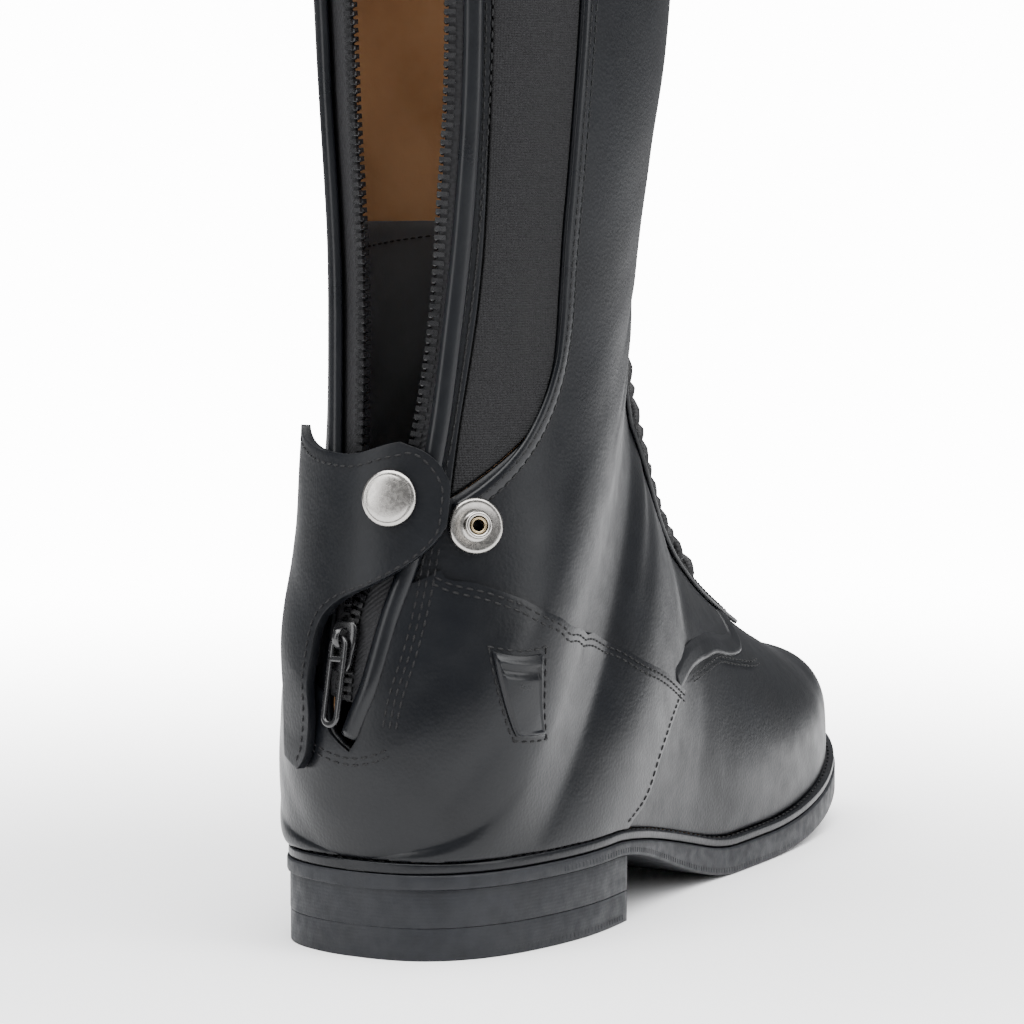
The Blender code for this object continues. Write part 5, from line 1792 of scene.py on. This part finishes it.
@dataclass
class Studio:
    """Camera at the photograph's angle, a pale floor and soft lights."""

    azimuth: float = 58.82
    tilt: float = 4.38
    lens: float = 120.0
    fill: float = 0.30
    backdrop: float = 14.0
    spot: tuple = (-0.7594, -0.4836, 0.1813)
    fade_start: float = 0.12
    fade_end: float = 1.0
    lights: tuple = (
        ("overhead_softbox", (-0.1, -0.1, 2.2), (0.0, 0.0, 0.0), (3.4, 3.0), 250.0),
        ("left_softbox", (-1.2, 0.55, 0.75), (0.0, 0.0, 0.15), (0.6, 1.3), 11.0),
        ("side_softbox", (0.15, -1.4, 0.75), (0.03, 0.0, 0.12), (0.6, 1.2), 14.0),
    )

    def camera(self) -> None:
        """Places the camera."""
        a, e = math.radians(self.azimuth), math.radians(self.tilt)
        right = Vector((math.cos(a), -math.sin(a), 0.0))
        ahead = Vector((math.sin(a) * math.cos(e), math.cos(a) * math.cos(e), -math.sin(e)))
        up = right.cross(ahead)
        data = bpy.data.cameras.new("studio_camera")
        data.lens = self.lens
        data.sensor_width = 36.0
        data.sensor_height = 36.0
        data.sensor_fit = "AUTO"
        data.dof.use_dof = False
        obj = bpy.data.objects.new("studio_camera", data)
        obj.matrix_world = Matrix.Translation(self.spot) @ Matrix((right, up, -ahead)).transposed().to_4x4()
        bpy.context.scene.collection.objects.link(obj)
        bpy.context.scene.camera = obj

    def light(self, name: str, place: tuple, aim: tuple, size: tuple, power: float) -> None:
        """One soft rectangular light."""
        data = bpy.data.lights.new(name, "AREA")
        data.shape = "RECTANGLE"
        data.size, data.size_y = size
        data.energy = power
        obj = bpy.data.objects.new(name, data)
        turn = (Vector(aim) - Vector(place)).to_track_quat("-Z", "Y").to_matrix().to_4x4()
        obj.matrix_world = Matrix.Translation(place) @ turn
        bpy.context.scene.collection.objects.link(obj)

    def build(self) -> None:
        """Sets the camera, the floor, the surroundings and the lights."""
        self.camera()
        points = np.array([(-6000, -6000, 0), (6000, -6000, 0), (6000, 6000, 0), (-6000, 6000, 0)], float)
        floor = bpy.data.meshes.new("studio_floor")
        floor.from_pydata((points * MM).tolist(), [], [[0, 1, 2, 3]])
        obj = bpy.data.objects.new("studio_floor", floor)
        bpy.context.scene.collection.objects.link(obj)
        g = Graph("pale_floor", (0.93, 0.93, 0.94), 0.8, gloss=0.1)
        g.tint(g.noise(3.0, 2.0), (0.92, 0.92, 0.93), (0.945, 0.945, 0.95))
        self.fade(g)
        obj.data.materials.append(g.mat)
        self.surroundings()
        for name, place, aim, size, power in self.lights:
            self.light(name, place, aim, size, power)

    def surroundings(self) -> None:
        """A soft fill light all round, and a white backdrop for the camera alone."""
        world = bpy.data.worlds.new("white_studio")
        world.use_nodes = True
        nodes, links = world.node_tree.nodes, world.node_tree.links
        sky = nodes["Background"]
        sky.inputs["Color"].default_value = (0.97, 0.98, 1.0, 1.0)
        sky.inputs["Strength"].default_value = self.fill
        wall = nodes.new("ShaderNodeBackground")
        wall.inputs["Color"].default_value = (1.0, 1.0, 1.0, 1.0)
        wall.inputs["Strength"].default_value = self.backdrop
        rays, mix = nodes.new("ShaderNodeLightPath"), nodes.new("ShaderNodeMixShader")
        links.new(rays.outputs["Is Camera Ray"], mix.inputs["Fac"])
        links.new(sky.outputs["Background"], mix.inputs[1])
        links.new(wall.outputs["Background"], mix.inputs[2])
        links.new(mix.outputs["Shader"], nodes["World Output"].inputs["Surface"])
        bpy.context.scene.world = world

    def fade(self, g: Graph) -> None:
        """Lets the floor fade into the white backdrop away from the boot."""
        reach = g.nodes.new("ShaderNodeVectorMath")
        reach.operation = "LENGTH"
        g.links.new(g.where, reach.inputs[0])
        step = g.nodes.new("ShaderNodeMapRange")
        step.interpolation_type = "SMOOTHSTEP"
        step.inputs["From Min"].default_value = self.fade_start
        step.inputs["From Max"].default_value = self.fade_end
        g.links.new(reach.outputs["Value"], step.inputs["Value"])
        rays, both = g.nodes.new("ShaderNodeLightPath"), g.nodes.new("ShaderNodeMath")
        both.operation = "MULTIPLY"
        g.links.new(step.outputs["Result"], both.inputs[0])
        g.links.new(rays.outputs["Is Camera Ray"], both.inputs[1])
        glow, mix = g.nodes.new("ShaderNodeEmission"), g.nodes.new("ShaderNodeMixShader")
        glow.inputs["Strength"].default_value = self.backdrop
        g.links.new(both.outputs["Value"], mix.inputs["Fac"])
        g.links.new(g.shader.outputs["BSDF"], mix.inputs[1])
        g.links.new(glow.outputs["Emission"], mix.inputs[2])
        g.links.new(mix.outputs["Shader"], g.nodes["Material Output"].inputs["Surface"])


def main() -> None:
    """Loads the frame and builds each sub-assembly in order."""
    global BEADS, BLOCKS
    logging.basicConfig(level=logging.INFO, format="%(name)s: %(message)s")
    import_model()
    BEADS, BLOCKS = RowMaker(Repeat.BEAD), RowMaker(Repeat.BLOCK)
    finish = Finishes()
    Studio().build()
    UpperShell().build(finish)
    Counter().build(finish)
    Throat().build(finish)
    ElasticGore().build(finish)
    CollarBand().build(finish)
    BackZip().build(finish)
    SnapFlap().build(finish)
    Plaque().build(finish)
    Sole().build(finish)
    Stitching().build(finish)


if __name__ == "__main__":
    main()
